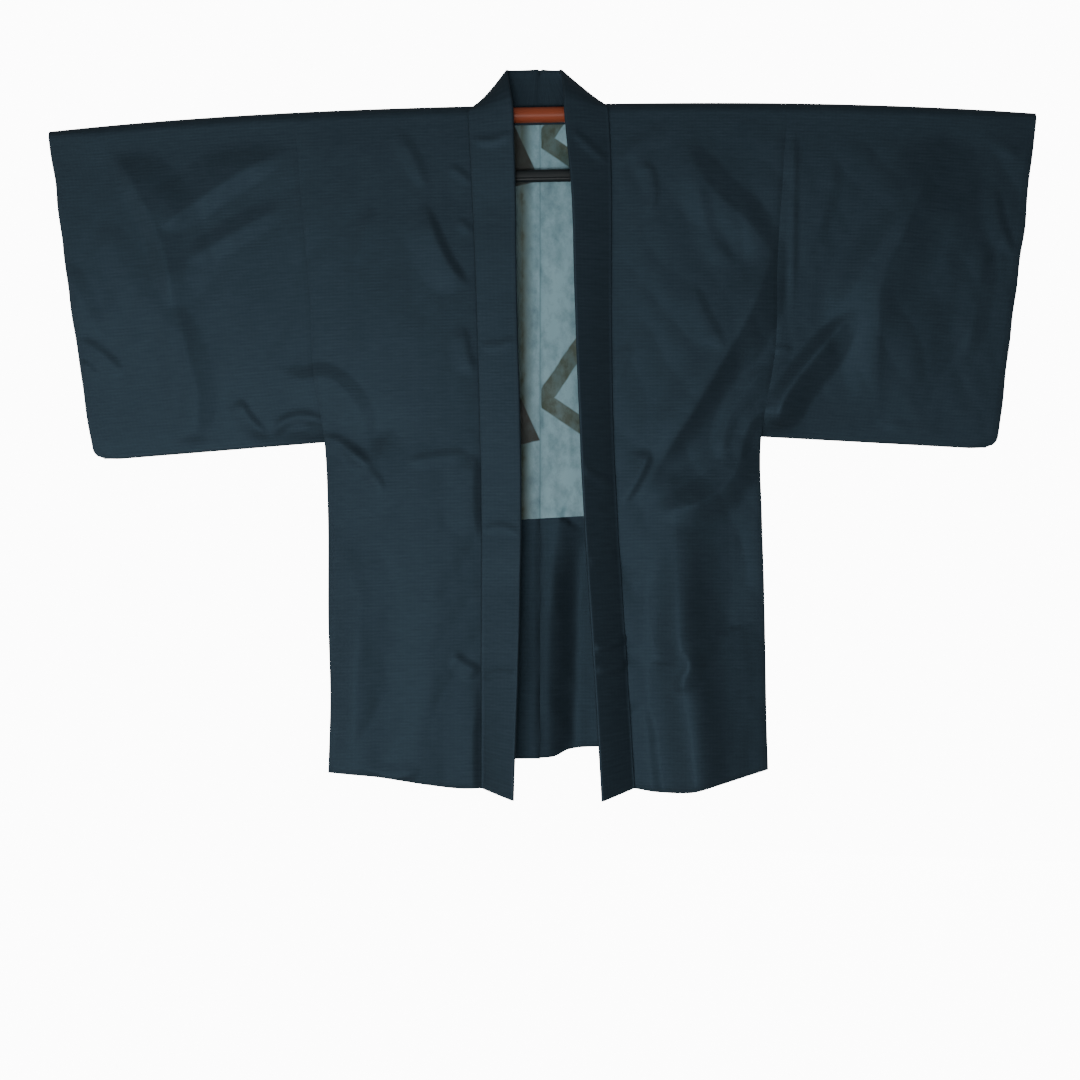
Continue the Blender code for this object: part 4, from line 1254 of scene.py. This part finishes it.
# %% The lining's design
REPEAT_ACROSS = 0.30
REPEAT_DOWN = 0.349
SQUARE_CENTRE = (0.0890, 0.3640)
SQUARE_TILT = math.radians(56)
SQUARE_INNER = 0.050
SQUARE_BAND = 0.0215
SQUARE_LEFT_EDGE = 0.0016
WEDGE_CORNER = (0.3000, 0.4348)
WEDGE_TOP_SLOPE = math.radians(65)
WEDGE_FOOT_SLOPE = math.radians(-13)
WEDGE_WIDTH = 0.085
EDGE_BLUR = 0.0012
# A soft olive band on the lining is painted shadow: the shadow that the wearer's right collar casts
# on it.
COLLAR_SHADOW_AT = 0.276
COLLAR_SHADOW_HALF = 0.016
GROUND_PALE = (0.285, 0.490, 0.560)
GROUND_DEEP = (0.100, 0.205, 0.250)
OLIVE = (0.050, 0.080, 0.056)
OLIVE_DARK = (0.0125, 0.0180, 0.0130)
CENTRE_SEAM_SHADE = 0.0010
EDGE_WOBBLE = 0.0012
SQUARE_RIGHT_GAP = 0.02
WEDGE_MARGIN = 0.004
WEDGE_RISE = 0.09
THREAD_PITCH = 0.0011


def wrapped(tree, value, centre, repeat):
    """The distance from a centre to a value, to the nearest repeat of it."""
    shifted = calc(tree, "ADD", value, repeat / 2 - centre)
    return calc(tree, "SUBTRACT", calc(tree, "FLOORED_MODULO", shifted, repeat), repeat / 2)


def along(tree, u, v, angle):
    """The distance along a direction at that angle."""
    rest = calc(tree, "MULTIPLY", v, math.sin(angle))
    return calc(tree, "MULTIPLY_ADD", u, math.cos(angle), rest)


def below(tree, value, limit):
    """1 where the value is below the limit and 0 above it, with a slightly blurred edge."""
    step = tree.nodes.new("ShaderNodeMapRange")
    step.interpolation_type = "SMOOTHSTEP"
    step.inputs["From Min"].default_value = limit - EDGE_BLUR
    step.inputs["From Max"].default_value = limit + EDGE_BLUR
    step.inputs["To Min"].default_value = 1
    step.inputs["To Max"].default_value = 0
    tree.links.new(value, step.inputs["Value"])
    return step.outputs["Result"]


def make_lining_cloth():
    material, tree, shader = new_finish("figured_lining_silk", GROUND_PALE, 0.48, 0.4)
    flat = cut_map(tree)
    split = tree.nodes.new("ShaderNodeSeparateXYZ")
    tree.links.new(flat, split.inputs[0])
    wobble = calc(tree, "MULTIPLY_ADD", grain(tree, flat, 60, 1.0), 2 * EDGE_WOBBLE, -EDGE_WOBBLE)
    u = calc(tree, "ADD", split.outputs["X"], wobble)
    v = calc(tree, "ADD", split.outputs["Y"], wobble)
    mottle = grain(tree, stretched(tree, flat, (62, 40, 1)), 1.0, 4.0, 0.62)
    patches = grain(tree, stretched(tree, flat, (26, 13, 1), (5, 2, 0)), 1.0, 2.0)
    speckle = grain(tree, flat, 420, 2.0)
    tone = calc(tree, "MULTIPLY_ADD", mottle, 2.1, -0.70)
    tone = calc(tree, "MULTIPLY_ADD", patches, 1.5, tone)
    tone = calc(tree, "MULTIPLY_ADD", speckle, 0.30, tone)
    tone = calc(tree, "SUBTRACT", tone, 0.48)
    tone = calc(tree, "MINIMUM", calc(tree, "MAXIMUM", tone, 0.0), 1.0)
    ground = shade(tree, tone, GROUND_DEEP, GROUND_PALE)
    place = tree.nodes.new("ShaderNodeSeparateXYZ")
    tree.links.new(tree.nodes.new("ShaderNodeTexCoord").outputs["Object"], place.inputs[0])
    # Painted shade: the ground darkens in a thin line down the centre seam, standing for the shade
    # in its groove.
    from_centre = calc(tree, "ABSOLUTE", place.outputs["X"])
    seam = calc(tree, "MULTIPLY", below(tree, from_centre, CENTRE_SEAM_SHADE), 0.5)
    ground = shade(tree, seam, ground, GROUND_DEEP)

    square_u = wrapped(tree, u, SQUARE_CENTRE[0], REPEAT_ACROSS)
    square_v = calc(tree, "MULTIPLY", wrapped(tree, v, SQUARE_CENTRE[1], REPEAT_DOWN), -1.0)
    first = calc(tree, "ABSOLUTE", along(tree, square_u, square_v, SQUARE_TILT))
    second = calc(tree, "ABSOLUTE", along(tree, square_u, square_v, SQUARE_TILT - math.pi / 2))
    reach = calc(tree, "MAXIMUM", first, second)
    inside = below(tree, reach, SQUARE_INNER + SQUARE_BAND)
    from_left = calc(tree, "MODULO", u, REPEAT_ACROSS)
    past_edge = calc(tree, "SUBTRACT", 1.0, below(tree, from_left, SQUARE_LEFT_EDGE))
    short_of_edge = below(tree, from_left, REPEAT_ACROSS - SQUARE_RIGHT_GAP)
    inside = calc(tree, "MULTIPLY", inside, calc(tree, "MULTIPLY", past_edge, short_of_edge))
    ring = calc(tree, "SUBTRACT", inside, below(tree, reach, SQUARE_INNER))

    half_repeat = REPEAT_ACROSS / 2
    wedge_u = wrapped(tree, u, WEDGE_CORNER[0] - half_repeat + WEDGE_MARGIN, REPEAT_ACROSS)
    wedge_u = calc(tree, "SUBTRACT", wedge_u, half_repeat - WEDGE_MARGIN)
    wedge_v = wrapped(tree, v, WEDGE_CORNER[1] - WEDGE_RISE, REPEAT_DOWN)
    wedge_v = calc(tree, "ADD", calc(tree, "MULTIPLY", wedge_v, -1.0), WEDGE_RISE)
    top = along(tree, wedge_u, wedge_v, math.pi / 2 - WEDGE_TOP_SLOPE)
    foot = along(tree, wedge_u, wedge_v, -math.pi / 2 - WEDGE_FOOT_SLOPE)
    wedge = calc(tree, "MULTIPLY", below(tree, top, 0.0), below(tree, foot, 0.0))
    wide = calc(tree, "MULTIPLY", wedge_u, -1.0)
    wedge = calc(tree, "MULTIPLY", wedge, below(tree, wide, WEDGE_WIDTH))

    # Painted shadow: a soft olive band where the collar's shadow falls on the lining, blotched by
    # the mottle.
    painted_collar_shadow = wrapped(tree, u, COLLAR_SHADOW_AT, REPEAT_ACROSS)
    painted_collar_shadow = calc(tree, "ABSOLUTE", painted_collar_shadow)
    painted_collar_shadow = calc(tree, "MINIMUM", calc(tree, "DIVIDE", painted_collar_shadow, COLLAR_SHADOW_HALF), 1.0)
    painted_collar_shadow = calc(tree, "SUBTRACT", 1.0, painted_collar_shadow)
    painted_collar_shadow = calc(tree, "MULTIPLY", painted_collar_shadow, calc(tree, "MULTIPLY_ADD", mottle, 1.0, 0.42))

    worn = calc(tree, "MULTIPLY_ADD", mottle, 1.1, 0.36)
    worn = calc(tree, "MINIMUM", worn, 1.0)
    colour = shade(tree, painted_collar_shadow, ground, OLIVE)
    colour = shade(tree, calc(tree, "MULTIPLY", ring, worn), colour, OLIVE)
    patchy = calc(tree, "MINIMUM", calc(tree, "MULTIPLY_ADD", mottle, 0.4, 0.77), 1.0)
    colour = shade(tree, calc(tree, "MULTIPLY", wedge, patchy), colour, OLIVE_DARK)
    tree.links.new(colour, shader.inputs["Base Color"])
    threads = bands(tree, flat, THREAD_PITCH, "Y")
    raise_surface(tree, shader, calc(tree, "MULTIPLY_ADD", speckle, 0.8, threads), 0.0001, 0.3)
    shader.inputs["Sheen Weight"].default_value = 0.1
    return material


lining_cloth = make_lining_cloth()
print("squares and wedges repeat every", REPEAT_DOWN, "m")

# %% Linings
LINING_ROWS = 150
LINING_COLUMNS = 84
LINING_TOP = 0.026
LINING_END_Z = -0.5405
LINING_END_SLOPE = 0.05
LINING_BEHIND = 0.0022
LINING_WALL = 0.0006
LINING_SIDE_INSET = 0.0070
LINING_SEAM_DIP = 0.0006
LINING_SEAM_SOFTNESS = 0.002


def lining_point(side, column, row):
    """A point of the lining, on the inside of the back. Column 0 is the centre seam."""
    sign = SIDES[side]
    share = column / LINING_COLUMNS
    flat_x = share * SIDE[side][0].x
    top = mix(rod_height(sign * flat_x), UNDERARM_Z[side], LINING_TOP)
    end = LINING_END_Z + LINING_END_SLOPE * sign * flat_x
    z = mix(end, top, row / LINING_ROWS)
    side_x = read(SIDE[side], z, "x")
    x = sign * mix(-CENTRE_LAP, side_x - LINING_SIDE_INSET, share)
    across = abs(x) / side_x
    depth = mix(read(DEPTH, z, "centre_back"), read(DEPTH, z, "side"), across)
    depth += bulge(z, across) + relief("back", x, z)
    depth -= LINING_BEHIND
    return Vector((x, depth - dip(x, LINING_SEAM_DIP, LINING_SEAM_SOFTNESS), z))


def make_lining(side):
    shift = REPEAT_ACROSS if side == "right" else 0.0

    def cut(column, row):
        x, _, z = lining_point(side, column, row)
        return x + shift, -z

    mesh, placed = grid_of(
        LINING_COLUMNS, LINING_ROWS, lambda column, row: lining_point(side, column, row), cut
    )
    face_outwards(mesh, placed[40, 60], Vector((0, -1, 0)))
    name, node = f"cloth_lining_{side}", f"lining_{side}"
    return finish_cloth(name, mesh, LINING_WALL, -1, lining_cloth, node)


for side in SIDES:
    piece = make_lining(side)

# %% [markdown]
# ## The hanger
#
# The jacket hangs on an orange-brown tube that runs through both sleeves, with a flat black bar
# under it, held by a post at each side. The tube shows in the neck, where it has a soft highlight.
# It is swept along its own bowed line as a curve. The bar is a block with rounded edges and a fine
# groove along its face.

# %% Hanger materials
TUBE_MIDDLE = (0.30, 0.075, 0.036)
TUBE_DARK = (0.240, 0.048, 0.022)
TUBE_LIGHT = (0.352, 0.080, 0.034)
BAR_MIDDLE = (0.012, 0.016, 0.018)
BAR_DARK = (0.008, 0.012, 0.014)
BAR_LIGHT = (0.020, 0.026, 0.028)


def make_rod_finish():
    material, tree, shader = new_finish("orange_brown_tube", TUBE_MIDDLE, 0.40, 0.25)
    coords = tree.nodes.new("ShaderNodeTexCoord").outputs["Object"]
    streaks = grain(tree, stretched(tree, coords, (6, 260, 260)), 1.0, 3.0)
    specks = grain(tree, coords, 700, 2.0)
    tone = calc(tree, "MULTIPLY_ADD", specks, 0.3, calc(tree, "MULTIPLY", streaks, 0.7))
    tree.links.new(shade(tree, tone, TUBE_DARK, TUBE_LIGHT), shader.inputs["Base Color"])
    raise_surface(tree, shader, streaks, 0.0001, 0.25)
    return material


def make_bar_finish():
    material, tree, shader = new_finish("black_plastic", BAR_MIDDLE, 0.34, 0.22)
    coords = tree.nodes.new("ShaderNodeTexCoord").outputs["Object"]
    scuffs = grain(tree, stretched(tree, coords, (30, 500, 500)), 1.0, 3.0)
    tree.links.new(shade(tree, scuffs, BAR_DARK, BAR_LIGHT), shader.inputs["Base Color"])
    tree.links.new(calc(tree, "MULTIPLY_ADD", scuffs, 0.25, 0.24), shader.inputs["Roughness"])
    return material


tube_finish = make_rod_finish()
bar_finish = make_bar_finish()
print("hanger materials ready")

# %% Tube
def finish_hard(piece, node, material):
    piece.data.materials.append(material)
    bpy.context.scene.collection.objects.link(piece)
    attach(piece, "root")
    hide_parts(node)
    print(piece.name, "stands for", node)


ROD_POINTS = 60
rod_line = bpy.data.curves.new("rod_tube", "CURVE")
rod_line.dimensions = "3D"
rod_line.bevel_depth = ROD_RADIUS
rod_line.bevel_resolution = 10
rod_line.use_fill_caps = True
track = rod_line.splines.new("POLY")
track.points.add(ROD_POINTS)
for k, point in enumerate(track.points):
    x = mix(-ROD_REACH, ROD_REACH, k / ROD_POINTS)
    point.co = (x, 0, rod_height(x), 1)
track.use_smooth = True
finish_hard(bpy.data.objects.new("rod_tube", rod_line), "hanger_rod", tube_finish)

# %% Bar and posts
GROOVE_HEIGHT = 0.0012
GROOVE_DEPTH = 0.0006
GROOVE_Z = -0.0022
SHARP_ANGLE = math.radians(40)


def rounded_block(name, node, round_edge, groove):
    """A block that fills a node's box in its own tilt, with rounded edges and maybe a groove."""
    low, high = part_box(node)
    size = high - low
    tilt = ROD_TILT if groove else 0.0
    size.z -= tilt * size.x
    block = bmesh.new()
    bmesh.ops.create_cube(block, size=1)
    bmesh.ops.scale(block, verts=block.verts, vec=size)
    bmesh.ops.bevel(
        block, geom=block.edges[:], offset=round_edge, segments=4, profile=0.5,
        affect="EDGES", material=-1,
    )
    if groove:
        for height in (-GROOVE_HEIGHT / 2, GROOVE_HEIGHT / 2):
            bmesh.ops.bisect_plane(
                block, geom=block.verts[:] + block.edges[:] + block.faces[:],
                plane_co=(0, 0, height + GROOVE_Z), plane_no=(0, 0, 1),
            )
        along_groove = [
            face for face in block.faces
            if abs(face.calc_center_median().z - GROOVE_Z) < GROOVE_HEIGHT / 4
            and abs(face.normal.y) > 0.9
        ]
        for face in along_groove:
            bmesh.ops.translate(block, verts=face.verts, vec=face.normal * -GROOVE_DEPTH)
    centre = (low + high) / 2
    for vertex in block.verts:
        vertex.co = vertex.co + centre + Vector((0, 0, tilt * vertex.co.x))
    data = bpy.data.meshes.new(name)
    block.to_mesh(data)
    block.free()
    data.shade_smooth()
    data.set_sharp_from_angle(angle=SHARP_ANGLE)
    piece = bpy.data.objects.new(name, data)
    finish_hard(piece, node, bar_finish)


rounded_block("lower_bar", "hanger_bar", 0.0044, True)
for side in SIDES:
    rounded_block(f"post_{side}", f"hanger_link_{side}", 0.0014, False)

# %% [markdown]
# ## The two boxes
#
# The cloth may stand proud of the imported model by a few millimetres, and no more. Both boxes are
# printed, so that they can be compared.

# %% Finish
finished_box = [list(corner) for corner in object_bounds()]
for name, packed, finished in zip("XYZ", zip(*packed_box), zip(*finished_box)):
    print(name, "packed", [round(v, 4) for v in packed])
    print(name, "finished", [round(v, 4) for v in finished])
